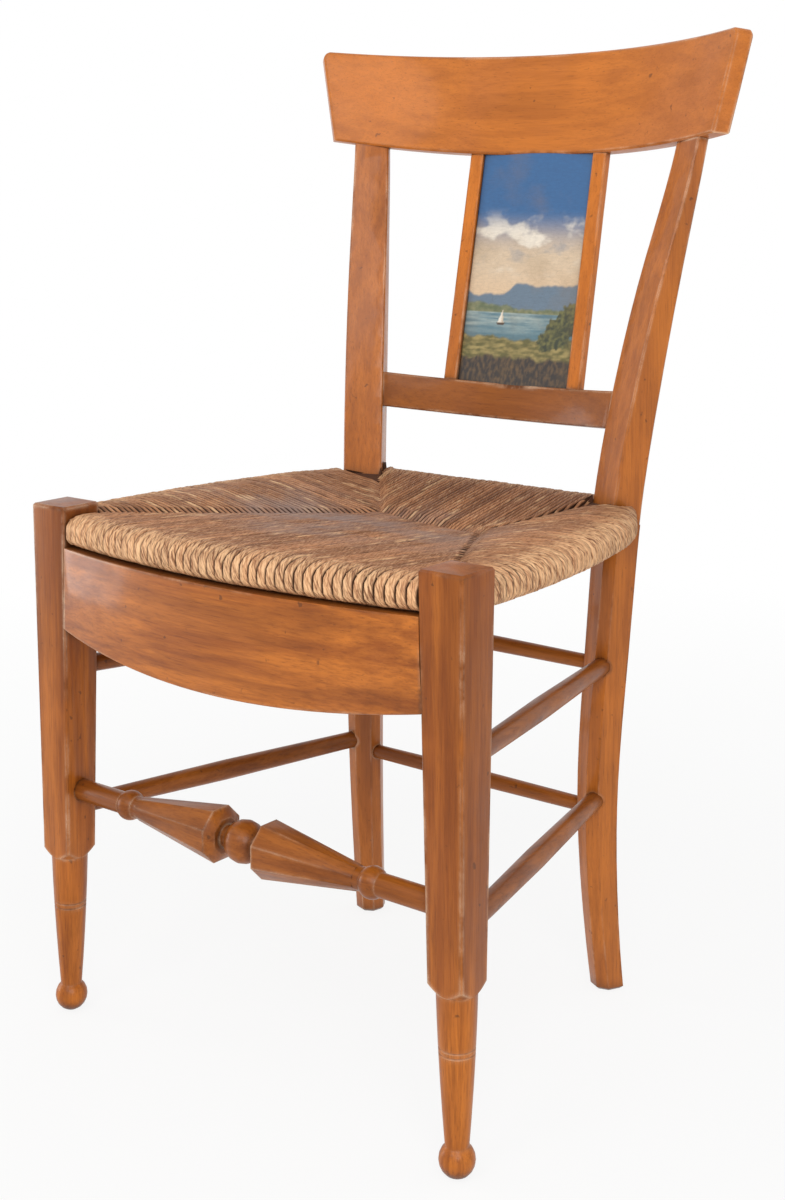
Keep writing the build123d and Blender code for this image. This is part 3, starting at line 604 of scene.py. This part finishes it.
class CHAIR_OT_apron(bpy.types.Operator):
    """Rounds and polishes the bowed front apron"""

    bl_idname = "chair.apron"
    bl_label = "Front Apron"

    def execute(self, context):
        wood = fruitwood(
            "waxed_cherry_apron", "X", tone=0.8, sheen_share=0.35, bold=0.7, gloss=0.3
        )
        wooden_piece("front_apron", wood)
        return {"FINISHED"}


class CHAIR_OT_stretchers(bpy.types.Operator):
    """Polishes the turned front stretcher and the six plain ones"""

    bl_idname = "chair.stretchers"
    bl_label = "Stretchers"

    def execute(self, context):
        wide = fruitwood(
            "waxed_cherry_stretchers_across", "X", tone=0.6, sheen_share=0.3, bold=0.6
        )
        for name in ("front_stretcher", "back_stretcher_upper", "back_stretcher_lower"):
            wooden_piece(name, wide)
        deep = fruitwood(
            "waxed_cherry_stretchers_deep", "Y", tone=0.56, sheen_share=0.3, bold=0.6
        )
        for level in ("upper", "lower"):
            for side in ("left", "right"):
                wooden_piece(
                    f"side_stretcher_{level}_{side}", deep
                )
        return {"FINISHED"}


class CHAIR_OT_seat_rails(bpy.types.Operator):
    """Gives the hidden seat rails their bare wood"""

    bl_idname = "chair.seat_rails"
    bl_label = "Seat Rails"

    def execute(self, context):
        beech = raw_beech()
        for name in (
            "front_seat_rail",
            "back_seat_rail",
            "side_seat_rail_left",
            "side_seat_rail_right",
        ):
            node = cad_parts[name]
            for place in node.material_slots:
                place.material = beech
        return {"FINISHED"}


def rush_material(name, deep=False):
    """Rush and rye straw, twisted by hand into cord: dull brown straw with long fibres
    that wind round each strand, bright dry lengths, painted shade in the creases and
    at the back, painted highlights on the coils round the rim, and a grey, matt
    patch where it is sat on."""
    rush = bpy.context.scene.chair_rush
    material, tree, shader = new_material(name)
    place = add(tree, "ShaderNodeTexCoord").outputs["Object"]
    # The stuffing's own brown, darkened into painted shade for the gaps between the
    # strands.
    if deep:
        fibre = add(
            tree, "ShaderNodeTexNoise", {"Vector": place, "Scale": 260.0, "Detail": 3}
        ).outputs[0]
        colour = blended(
            tree,
            fibre,
            (*[c * 0.35 for c in rush.shade], 1),
            (*[c * 0.9 for c in rush.shade], 1),
        )
        tree.links.new(colour, shader.inputs["Base Color"])
        shader.inputs["Roughness"].default_value = 0.9
        return material
    tint = add(tree, "ShaderNodeAttribute", attribute_name="tint").outputs["Fac"]
    run = add(tree, "ShaderNodeAttribute", attribute_name="run").outputs["Fac"]
    rim = add(tree, "ShaderNodeAttribute", attribute_name="rim").outputs["Fac"]
    ring = add(tree, "ShaderNodeAttribute", attribute_name="ring").outputs["Vector"]
    # The fibres wind once round a strand in about 30 mm.
    wound = add(
        tree, "ShaderNodeMath", {0: run, 1: 210.0}, operation="MULTIPLY"
    ).outputs[0]
    turned = add(
        tree,
        "ShaderNodeVectorRotate",
        {"Vector": ring, "Angle": wound},
        rotation_type="Z_AXIS",
    ).outputs[0]
    lift = add(
        tree,
        "ShaderNodeCombineXYZ",
        {
            "X": add(
                tree, "ShaderNodeMath", {0: tint, 1: 37.0}, operation="MULTIPLY"
            ).outputs[0],
            "Y": add(
                tree, "ShaderNodeMath", {0: tint, 1: 91.0}, operation="MULTIPLY"
            ).outputs[0],
            "Z": add(
                tree, "ShaderNodeMath", {0: run, 1: 27.0}, operation="MULTIPLY"
            ).outputs[0],
        },
    ).outputs[0]
    at = add(
        tree, "ShaderNodeVectorMath", {0: turned, 1: lift}, operation="ADD"
    ).outputs[0]
    fibre = add(
        tree,
        "ShaderNodeTexNoise",
        {"Vector": at, "Scale": 1.7, "Detail": 3, "Roughness": 0.6},
    ).outputs[0]
    length_of = add(
        tree, "ShaderNodeTexNoise", {"Vector": lift, "Scale": 1.0, "Detail": 2}
    ).outputs[0]
    patch = add(
        tree,
        "ShaderNodeTexNoise",
        {"Vector": place, "Scale": 14.0, "Detail": 4, "Roughness": 0.6},
    ).outputs[0]
    colour = blended(
        tree, spread(tree, tint, 0, 1, 0.0, 0.75), (*rush.straw, 1), (*rush.shade, 1)
    )
    colour = blended(
        tree, spread(tree, length_of, 0.6, 0.7, 0, 0.75), colour, (*rush.pale, 1)
    )
    colour = blended(
        tree, spread(tree, length_of, 0.4, 0.28, 0, 0.6), colour, (*rush.shade, 1)
    )
    colour = blended(
        tree, spread(tree, fibre, 0.5, 0.3, 0, 0.75), colour, (*rush.shade, 1)
    )
    bright = spread(tree, fibre, 0.55, 0.75, 0, 0.55)
    colour = blended(tree, bright, colour, (*rush.pale, 1))
    # Painted highlight: the coils round the rim are lightened to pale straw.
    edge = add(
        tree,
        "ShaderNodeMath",
        {0: rim, 1: spread(tree, fibre, 0.38, 0.6, 0.0, 0.75)},
        operation="MULTIPLY",
    ).outputs[0]
    colour = blended(tree, edge, colour, (*rush.pale, 1))
    # Painted shade: the strands at the back, under the back rail, are darkened towards
    # the shade colour.
    depth = add(tree, "ShaderNodeSeparateXYZ", {"Vector": place}).outputs["Y"]
    colour = blended(
        tree, spread(tree, depth, 0.02, 0.1, 0, 0.4), colour, (*rush.shade, 1)
    )
    # The grey patch lies in the middle of the front half.
    spot = add(
        tree,
        "ShaderNodeMapping",
        {"Vector": place, "Location": (0.1, 0.45, 0), "Scale": (5.2, 8.5, 0)},
    ).outputs[0]
    off = add(tree, "ShaderNodeVectorMath", {0: spot}, operation="LENGTH")
    worn = spread(tree, off.outputs["Value"], 1.1, 0.25)
    rough = spread(tree, patch, 0.4, 0.62, 0, 0.8)
    worn = add(tree, "ShaderNodeMath", {0: worn, 1: rough}, operation="MULTIPLY")
    colour = blended(tree, worn.outputs[0], colour, (*rush.grey, 1))
    # Painted shade: a strand darkens down its sides, where it lies against the next.
    outward = add(tree, "ShaderNodeAttribute", attribute_name="outward")
    crown = add(
        tree,
        "ShaderNodeVectorMath",
        {
            0: add(tree, "ShaderNodeNewGeometry").outputs["Normal"],
            1: outward.outputs["Vector"],
        },
        operation="DOT_PRODUCT",
    ).outputs["Value"]
    shade = spread(tree, crown, 0.84, 0.36, 0, 0.95)
    colour = blended(
        tree, shade, colour, (*[c * 0.3 for c in rush.shade], 1)
    )
    bump = add(
        tree, "ShaderNodeBump", {"Strength": 0.6, "Distance": 0.0006, "Height": fibre}
    ).outputs[0]
    tree.links.new(colour, shader.inputs["Base Color"])
    tree.links.new(bump, shader.inputs["Normal"])
    tree.links.new(spread(tree, fibre, 0.3, 0.7, 0.75, 0.5), shader.inputs["Roughness"])
    shader.inputs["Specular IOR Level"].default_value = 0.4
    return material


class SeatPlan:
    """The rush seat's form, read off its solid, and the seams between its sides."""

    # Inner corners of the legs and posts, and the two ends of the ridge, in metres.
    leg_corner = (0.193, -0.189)
    post_corner = (0.124, 0.119)
    ridge_left, ridge_right = (-0.054, 0.035), (0.081, 0.006)

    def __init__(self):
        skin = bmesh.new()
        skin.from_mesh(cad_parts["rush_seat"].data)
        self.tree = BVHTree.FromBMesh(skin)
        skin.free()

    def seam(self, side, at):
        """Where a strand of one side ends: y for front and back, x for the others."""
        lx, ly = self.leg_corner
        px, py = self.post_corner
        left, right = self.ridge_left, self.ridge_right
        line = {
            "front": ((-lx, ly), left, right, (lx, ly)),
            "back": ((-px, py), left, right, (px, py)),
            "left": ((-lx, ly), left, (-px, py)),
            "right": ((lx, ly), right, (px, py)),
        }[side]
        across = side in ("front", "back")
        points = [(p[0], p[1]) if across else (p[1], p[0]) for p in line]
        if at <= points[0][0]:
            return points[0][1]
        for (a, va), (b, vb) in zip(points, points[1:]):
            if a <= at <= b:
                return va + (vb - va) * (at - a) / (b - a)
        return points[-1][1]

    def rim(self, side, at):
        """Outermost place of a strand, found at the rim's middle height."""
        start, way = {
            "front": ((at, -0.45, 0.43), (0, 1, 0)),
            "back": ((at, 0.45, 0.43), (0, -1, 0)),
            "left": ((-0.45, at, 0.43), (1, 0, 0)),
            "right": ((0.45, at, 0.43), (-1, 0, 0)),
        }[side]
        hit = self.tree.ray_cast(Vector(start), Vector(way))[0]
        if hit is None:
            return None
        return hit.y if side in ("front", "back") else hit.x

    def level(self, x, y, top=True):
        """Height of the rush's top or underside, or None beside it."""
        start = Vector((x, y, 0.6 if top else 0.3))
        hit = self.tree.ray_cast(start, Vector((0, 0, -1 if top else 1)))[0]
        return None if hit is None else hit.z


def eased(low, high, value):
    """0 below low, 1 above high, and a soft slope between."""
    t = min(max((value - low) / (high - low), 0), 1)
    return t * t * (3 - 2 * t)


def evened(line, count):
    """The same line through a set number of evenly spaced points."""
    runs = [0.0]
    for a, b in zip(line, line[1:]):
        runs.append(runs[-1] + (b - a).length)
    even, k = [], 0
    for i in range(count):
        want = runs[-1] * i / (count - 1)
        while k < len(runs) - 2 and runs[k + 1] < want:
            k += 1
        t = (want - runs[k]) / max(runs[k + 1] - runs[k], 1e-9)
        even.append(line[k].lerp(line[k + 1], min(t, 1)))
    return even


def rush_strands(rush):
    """Lines of the strands, each a list of (place, radius, distance, tint, rim), and
    for each side of the seat the loops of the stuffing under them."""
    plan = SeatPlan()
    chance = random.Random(rush.seed)
    strands, sides = [], []
    for number, (side, (low, high)) in enumerate(SPANS.items()):
        sides.append([])
        pairs = round((high - low) / (2 * rush.pitch))
        pitch = (high - low) / (2 * pairs)
        for i in range(2 * pairs):
            at = low + (i + 0.5) * pitch
            coil = low + (2 * (i // 2) + 1) * pitch
            own = 17.3 * number + 0.618 * i
            if i % 2 == 0:
                shared = chance.random()
            edge = plan.rim(side, at)
            if edge is None:
                continue
            end = plan.seam(side, at)
            if side in ("left", "right") and at > 0.1:
                # Beside the post the strands stop at its outer face.
                end = (0.1545 + (at - 0.1) * 0.8) * (-1 if side == "left" else 1)
            if side == "back" and abs(at) > 0.124:
                end = 0.1225 + (abs(at) - 0.124) * 1.9
            inward = 1 if end > edge else -1
            reach = abs(end - edge)
            if reach < SHORTEST_STRAND:
                continue
            tint = 0.45 * shared + 0.55 * chance.random()
            bend = min(RIM_BEND, reach * 0.6)

            def spot(depth, side=side, edge=edge, inward=inward, at=at):
                far = edge + inward * depth
                return (at, far) if side in ("front", "back") else (far, at)

            high_z = plan.level(*spot(bend)) or 0.448
            low_z = plan.level(*spot(bend), top=False) or 0.411
            middle, half = (high_z + low_z) / 2, (high_z - low_z) / 2
            line = []
            # Underside, from the seam out to the rim.
            count = max(2, round((reach - bend) / (rush.step * 1.8)))
            for j in range(count):
                depth = reach - (reach - bend) * j / count
                z = plan.level(*spot(depth), top=False) or low_z
                line.append((depth, z, -1.0))
            # Round the rim.
            for j in range(RIM_POINTS):
                turn = -pi / 2 + pi * j / (RIM_POINTS - 1)
                c, s = cos(turn), sin(turn)
                depth = bend * (1 - abs(c) ** 0.85)
                tall = half * abs(s) ** 0.88 * (1 if s > 0 else -1)
                line.append((depth, middle + tall, s))
            # Top, from the rim in to the seam.
            count = max(2, round((reach - bend) / rush.step))
            for j in range(1, count + 1):
                depth = bend + (reach - bend) * j / count
                z = plan.level(*spot(depth)) or high_z
                line.append((depth, z, 1.0))
            run, before, strand, lining = 0.0, None, [], []
            for depth, z, facing in line:
                rim = 1 - eased(0.006, 0.036, depth)
                radius = rush.strand + (rush.swell - rush.strand) * rim
                drawn = at + (coil - at) * 0.32 * rim
                sway = noise.noise(Vector((own, depth * 22, 1.0 + facing)))
                drawn += 0.0007 * sway * (1 - 0.5 * rim)
                heave = 0.0005 * noise.noise(Vector((own * 2.3, depth * 30, 7.0)))
                # The end dips into the seam.
                dip = SEAM_DIP * eased(reach - 0.012, reach, depth)
                inset = radius * 0.85
                into = depth + inset * (1 - abs(facing)) + inset * 0.2
                x, y = spot(into, at=drawn)
                z = z - facing * (inset + dip) + heave
                here = Vector((x, y, z))
                if before is not None:
                    run += (here - before).length
                before = here
                flat = sqrt(max(0, 1 - facing * facing))
                away = -inward * flat
                out = (0, away) if side in ("front", "back") else (away, 0)
                strand.append((here, radius, run, tint, rim, Vector((*out, facing))))
                x, y = spot(into + LINING_DEPTH * (1 - abs(facing)))
                lining.append(Vector((x, y, z - facing * LINING_DEPTH)))
            strands.append(strand)
            sides[-1].append(evened(lining, LINING_POINTS))
    return strands, sides


def strand_tree(material):
    """Geometry nodes that turn strand lines into round strands of uneven thickness."""
    tree = bpy.data.node_groups.new("rush_strands", "GeometryNodeTree")
    face = tree.interface
    face.new_socket("Geometry", in_out="INPUT", socket_type="NodeSocketGeometry")
    for name, kind in (
        ("Facets", "NodeSocketInt"),
        ("Unevenness", "NodeSocketFloat"),
        ("Seed", "NodeSocketInt"),
    ):
        face.new_socket(name, in_out="INPUT", socket_type=kind)
    face.new_socket("Geometry", in_out="OUTPUT", socket_type="NodeSocketGeometry")
    given = add(tree, "NodeGroupInput").outputs
    curve = add(tree, "GeometryNodeMeshToCurve", {"Mesh": given["Geometry"]})
    radius = add(
        tree, "GeometryNodeInputNamedAttribute", {"Name": "radius"}, data_type="FLOAT"
    ).outputs[0]
    place = add(tree, "GeometryNodeInputPosition").outputs[0]
    wave = add(
        tree,
        "ShaderNodeTexNoise",
        {"Vector": place, "W": given["Seed"], "Scale": 55.0, "Detail": 2},
        noise_dimensions="4D",
    ).outputs[0]
    wave = add(
        tree, "ShaderNodeMath", {0: wave, 1: 0.5}, operation="SUBTRACT"
    ).outputs[0]
    wave = add(
        tree,
        "ShaderNodeMath",
        {0: wave, 1: given["Unevenness"], 2: 1.0},
        operation="MULTIPLY_ADD",
    ).outputs[0]
    thick = add(
        tree, "ShaderNodeMath", {0: radius, 1: wave}, operation="MULTIPLY"
    ).outputs[0]
    curve = add(
        tree, "GeometryNodeSetCurveRadius", {"Curve": curve.outputs[0], "Radius": thick}
    )
    circle = add(
        tree,
        "GeometryNodeCurvePrimitiveCircle",
        {"Resolution": given["Facets"], "Radius": 1.0},
    )
    marked = add(
        tree,
        "GeometryNodeStoreNamedAttribute",
        {
            "Geometry": circle.outputs["Curve"],
            "Name": "ring",
            "Value": add(tree, "GeometryNodeInputPosition").outputs[0],
        },
        data_type="FLOAT_VECTOR",
        domain="POINT",
    )
    skin = add(
        tree,
        "GeometryNodeCurveToMesh",
        {
            "Curve": curve.outputs[0],
            "Profile Curve": marked.outputs[0],
            "Fill Caps": True,
        },
    )
    if "Scale" in skin.inputs:
        tree.links.new(thick, skin.inputs["Scale"])
    smooth = add(tree, "GeometryNodeSetShadeSmooth", {"Geometry": skin.outputs[0]})
    real = add(tree, "GeometryNodeRealizeInstances", {"Geometry": smooth.outputs[0]})
    done = add(
        tree,
        "GeometryNodeSetMaterial",
        {"Geometry": real.outputs[0], "Material": material},
    )
    add(tree, "NodeGroupOutput", {"Geometry": done.outputs[0]})
    return tree


class CHAIR_OT_rush_seat(bpy.types.Operator):
    """Weaves the rush seat: coils over the rails, strands in to the seams"""

    bl_idname = "chair.rush_seat"
    bl_label = "Rush Seat"

    def execute(self, context):
        rush = context.scene.chair_rush
        points, edges, outward = [], [], []
        values = {"radius": [], "run": [], "tint": [], "rim": []}
        strands, sides = rush_strands(rush)
        for strand in strands:
            first = len(points)
            for place, radius, run, tint, rim, out in strand:
                points.append(place)
                outward.extend(out)
                for key, value in zip(values, (radius, run, tint, rim)):
                    values[key].append(value)
            edges += [(k, k + 1) for k in range(first, len(points) - 1)]
        mesh = bpy.data.meshes.new("rush_strands")
        mesh.from_pydata(points, edges, [])
        for key, value in values.items():
            mesh.attributes.new(key, "FLOAT", "POINT").data.foreach_set("value", value)
        layer = mesh.attributes.new("outward", "FLOAT_VECTOR", "POINT")
        layer.data.foreach_set("vector", outward)
        piece = placed("rush_strands", mesh)
        straw = rush_material("twisted_rush_strand")
        tree = strand_tree(straw)
        weave = piece.modifiers.new("weave", "NODES")
        weave.node_group = tree
        chosen = {"Facets": rush.facets, "Unevenness": rush.uneven, "Seed": rush.seed}
        for item in tree.interface.items_tree:
            if item.in_out == "INPUT" and item.name in chosen:
                weave[item.identifier] = chosen[item.name]
        context.view_layer.update()
        graph = context.evaluated_depsgraph_get()
        woven = bpy.data.meshes.new_from_object(piece.evaluated_get(graph))
        piece.modifiers.clear()
        piece.data = woven
        finished(piece, "rush_seat")

        # The stuffing under the strands closes the seat: one closed pad a side.
        skin = bmesh.new()
        for loops in sides:
            rows = [[skin.verts.new(place) for place in loop] for loop in loops]
            for first, second in zip(rows, rows[1:]):
                for k in range(len(first)):
                    n = (k + 1) % len(first)
                    skin.faces.new((first[k], first[n], second[n], second[k]))
            skin.faces.new(rows[0])
            skin.faces.new(rows[-1])
        # A wad fills the corner in front of each post.
        plan = SeatPlan()
        for side in (-1, 1):
            rows = [
                [
                    skin.verts.new((side * x, y, (plan.level(x, y, top) or z) + lift))
                    for x, y in WAD_CORNERS
                ]
                for top, z, lift in WAD_FACES
            ]
            for k in range(len(WAD_CORNERS)):
                n = (k + 1) % len(WAD_CORNERS)
                skin.faces.new((rows[0][k], rows[0][n], rows[1][n], rows[1][k]))
            skin.faces.new(rows[0])
            skin.faces.new(rows[1])
        bmesh.ops.recalc_face_normals(skin, faces=skin.faces)
        mesh = bpy.data.meshes.new("rush_stuffing")
        skin.to_mesh(mesh)
        skin.free()
        stuffing = placed("rush_stuffing", mesh)
        mesh.materials.append(rush_material("rush_stuffing_painted_dark", deep=True))
        finished(stuffing, "rush_seat")
        return {"FINISHED"}


def mixed(first, second, t):
    """One colour turning into another as t goes from 0 to 1."""
    t = min(max(t, 0), 1)
    return tuple(a + (b - a) * t for a, b in zip(first, second))


def wander(x, y, size, layer):
    """Soft unevenness at one spot of the view, with patches of a given size."""
    return noise.fractal(Vector((x / size, y / size, layer)), 0.9, 2.1, 4)


def landscape(paint, u, v):
    """Colour of a plain lake view at u across and v up, in widths of the film."""
    pale = linear("#EFE5D4")
    sky = mixed(paint.haze, paint.sky, eased(0.95, 1.32, v))
    sky = mixed(linear("#DDBF9C"), sky, eased(0.62, 0.95, v))
    puff = wander(u, v * 1.9, 0.34, 3.0) + 0.25 * wander(u, v, 0.1, 5.0)
    band = eased(0.75, 1.0, v) * (1 - eased(1.12, 1.34, v))
    sky = mixed(sky, pale, eased(0.02, 0.5, puff) * band * 0.85)
    colour = mixed(sky, linear("#5E7894"), eased(0.25, 0.7, -puff) * band * 0.35)
    ridge = 0.69 + 0.1 * wander(u, 0, 0.4, 11.0) + 0.05 * u
    colour = mixed(paint.hill, colour, eased(ridge - 0.01, ridge + 0.012, v))
    near = 0.6 + 0.045 * wander(u, 0, 0.22, 19.0) - 0.05 * u
    wood = mixed(linear("#5F6A4C"), linear("#8A8A66"), 0.5 + wander(u, v, 0.06, 2.0))
    colour = mixed(wood, colour, eased(near - 0.01, near + 0.01, v))
    if v < 0.535:
        glint = 0.5 + 0.9 * wander(u * 0.25, v * 3.2, 0.08, 8.0)
        lake = mixed(paint.water, linear("#A9B7B2"), glint * eased(0.3, 0.53, v))
        colour = mixed(lake, linear("#4B636A"), 1 - eased(0.25, 0.4, v))
    # A small boat with a plain sail.
    bu, bv = u - 0.34, v - 0.455
    if 0 <= bv <= 0.1 and -0.034 * (1 - bv / 0.1) <= bu <= 0.02 * (1 - bv / 0.1):
        colour = mixed(pale, linear("#C9B79E"), eased(-0.01, 0.012, bu))
    if -0.016 <= bv < 0 and abs(bu + 0.004) < 0.042 + bv:
        colour = linear("#4A3524")
    shore = 0.34 + 0.06 * wander(u, 0, 0.3, 31.0) + 0.1 * (u - 0.5) ** 2
    field = mixed(paint.meadow, linear("#A4925A"), 0.4 + wander(u, v * 3, 0.09, 6.0))
    colour = mixed(field, colour, eased(shore - 0.012, shore + 0.01, v))
    front = 0.2 + 0.05 * wander(u, 0, 0.16, 41.0)
    soil = mixed(paint.ground, linear("#6A5236"), 0.25 + wander(u * 2, v, 0.05, 9.0))
    colour = mixed(soil, colour, eased(front - 0.02, front + 0.015, v))
    # A clump of round bushes on the right.
    for cu, cv, r in ((0.86, 0.4, 0.12), (0.97, 0.5, 0.12), (0.76, 0.33, 0.075)):
        off = sqrt((u - cu) ** 2 + (v - cv) ** 2) + 0.022 * wander(u, v, 0.035, 15.0)
        sunlit = 0.4 + wander(u, v, 0.03, 4.0) + (v - cv) * 2
        leaf = mixed(linear("#2F3521"), linear("#6D6B3C"), sunlit)
        colour = mixed(leaf, colour, eased(r - 0.008, r + 0.008, off))
    return colour


def panel_paint():
    """Oil paint on a thin board under old varnish: short brush marks, fine crackle,
    a yellowed satin gloss, and dirt with painted shade towards the edges."""
    paint = bpy.context.scene.chair_panel
    material, tree, shader = new_material("varnished_oil_paint")
    place = add(tree, "ShaderNodeTexCoord").outputs["Object"]
    painting = add(tree, "ShaderNodeAttribute", attribute_name="painting")
    colour = painting.outputs["Color"]
    brush = add(
        tree,
        "ShaderNodeTexNoise",
        {
            "Vector": add(
                tree,
                "ShaderNodeMapping",
                {"Vector": place, "Rotation": (0, 0.25, 0), "Scale": (160, 100, 620)},
            ).outputs[0],
            "Scale": 1.0,
            "Detail": 3,
        },
    ).outputs[0]
    crack = add(
        tree,
        "ShaderNodeTexVoronoi",
        {"Vector": place, "Scale": 1 / paint.crack, "Randomness": 1.0},
        feature="DISTANCE_TO_EDGE",
    ).outputs[0]
    lines = spread(tree, crack, 0.03, 0.0, 0, 0.16)
    stain = add(
        tree, "ShaderNodeTexNoise", {"Vector": place, "Scale": 22.0, "Detail": 4}
    ).outputs[0]
    dabs = spread(tree, brush, 0.3, 0.7, 0.92, 1.06)
    grey = add(
        tree, "ShaderNodeCombineColor", {0: dabs, 1: dabs, 2: dabs}
    ).outputs[0]
    colour = blended(tree, 1.0, colour, grey, "MULTIPLY")
    colour = blended(
        tree, spread(tree, stain, 0.5, 0.75, 0, 0.3), colour, (*linear("#8B6E45"), 1)
    )
    colour = blended(tree, lines, colour, (*linear("#2B2118"), 1))
    # Dirt and painted shade: the paint darkens where ambient occlusion is low, near the
    # stiles and rails.
    hollow = add(tree, "ShaderNodeAmbientOcclusion", {"Distance": 0.01}, samples=6)
    colour = blended(
        tree,
        spread(tree, hollow.outputs["AO"], 0.9, 0.45, 0, 0.6),
        colour,
        (*linear("#2E2016"), 1),
    )
    height = add(
        tree, "ShaderNodeMath", {0: brush, 1: lines}, operation="SUBTRACT"
    ).outputs[0]
    bump = add(
        tree, "ShaderNodeBump", {"Strength": 0.2, "Distance": 0.0003, "Height": height}
    ).outputs[0]
    tree.links.new(colour, shader.inputs["Base Color"])
    tree.links.new(bump, shader.inputs["Normal"])
    tree.links.new(spread(tree, stain, 0.3, 0.7, 0.42, 0.6), shader.inputs["Roughness"])
    shader.inputs["Coat Weight"].default_value = 0.25
    shader.inputs["Coat Roughness"].default_value = 0.3
    return material


class CHAIR_OT_panel(bpy.types.Operator):
    """Paints the back panel with a plain lake view"""

    bl_idname = "chair.panel"
    bl_label = "Painted Panel"

    def execute(self, context):
        paint = context.scene.chair_panel
        board = fruitwood("oiled_panel_board", "Z", tone=0.6, sheen_share=0.5)
        piece = wooden_piece("painted_panel", board)
        skin = bmesh.new()
        skin.from_mesh(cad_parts["painted_panel"].data)
        surface = BVHTree.FromBMesh(skin)
        skin.free()
        low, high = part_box("painted_panel")
        across = round(2 * FILM_HALF / paint.cell)
        up = round((FILM_HEAD - FILM_FOOT) / paint.cell)
        points, faces, colours = [], [], []
        for j in range(up + 1):
            for i in range(across + 1):
                x = -FILM_HALF + 2 * FILM_HALF * i / across
                z = FILM_FOOT + (FILM_HEAD - FILM_FOOT) * j / up
                z = min(max(z, low.z + FILM_MARGIN), high.z - FILM_MARGIN)
                before = Vector((x, -0.2, z))
                hit, normal = surface.ray_cast(before, Vector((0, 1, 0)))[:2]
                if hit is None:
                    raise RuntimeError(f"no panel behind {x:.4f}, {z:.4f}")
                points.append(hit + normal * paint.film)
                colours += [
                    *landscape(paint, i / across, (z - VIEW_FOOT) / (2 * FILM_HALF)),
                    1,
                ]
        wide = across + 1
        for j in range(up):
            for i in range(across):
                a = j * wide + i
                faces.append((a, a + 1, a + 1 + wide, a + wide))
        # The film's edge goes back into the board.
        ring = list(range(across))
        ring += [across + j * wide for j in range(up)]
        ring += [up * wide + i for i in range(across, 0, -1)]
        ring += [j * wide for j in range(up, 0, -1)]
        start = len(points)
        for index in ring:
            points.append(points[index] + Vector((0, 2 * paint.film, 0)))
            colours += colours[4 * index : 4 * index + 4]
        count = len(ring)
        for k in range(count):
            n = (k + 1) % count
            faces.append((ring[n], ring[k], start + k, start + n))
        mesh = bpy.data.meshes.new("panel_paint")
        mesh.from_pydata(points, [], faces)
        layer = mesh.attributes.new("painting", "FLOAT_COLOR", "POINT")
        layer.data.foreach_set("color", colours)
        mesh.shade_smooth()
        mesh.materials.append(panel_paint())
        finished(placed("panel_paint", mesh), "painted_panel")
        return {"FINISHED"}


OPERATORS = (
    CHAIR_OT_stage,
    CHAIR_OT_legs,
    CHAIR_OT_posts,
    CHAIR_OT_back_rails,
    CHAIR_OT_apron,
    CHAIR_OT_stretchers,
    CHAIR_OT_seat_rails,
    CHAIR_OT_rush_seat,
    CHAIR_OT_panel,
)


class VIEW3D_PT_chair(bpy.types.Panel):
    """Lists the steps that dress the chair"""

    bl_label = "Rush-seated Side Chair"
    bl_space_type = "VIEW_3D"
    bl_region_type = "UI"
    bl_category = "Chair"

    def draw(self, context):
        for step in OPERATORS:
            self.layout.operator(step.bl_idname)
        for group in ("chair_wood", "chair_rush", "chair_panel", "chair_stage"):
            box = self.layout.box()
            settings = getattr(context.scene, group)
            for name in settings.__annotations__:
                box.prop(settings, name)


GROUPS = {
    "chair_wood": WoodFinish,
    "chair_rush": RushWork,
    "chair_panel": PanelPainting,
    "chair_stage": StageSetup,
}


def register():
    for item in (*GROUPS.values(), *OPERATORS, VIEW3D_PT_chair):
        bpy.utils.register_class(item)
    for name, group in GROUPS.items():
        setattr(bpy.types.Scene, name, PointerProperty(type=group))


def unregister():
    for name in GROUPS:
        delattr(bpy.types.Scene, name)
    for item in reversed((*GROUPS.values(), *OPERATORS, VIEW3D_PT_chair)):
        bpy.utils.unregister_class(item)


def main():
    register()
    for step in OPERATORS:
        group, name = step.bl_idname.split(".")
        getattr(getattr(bpy.ops, group), name)()


if __name__ == "__main__":
    main()
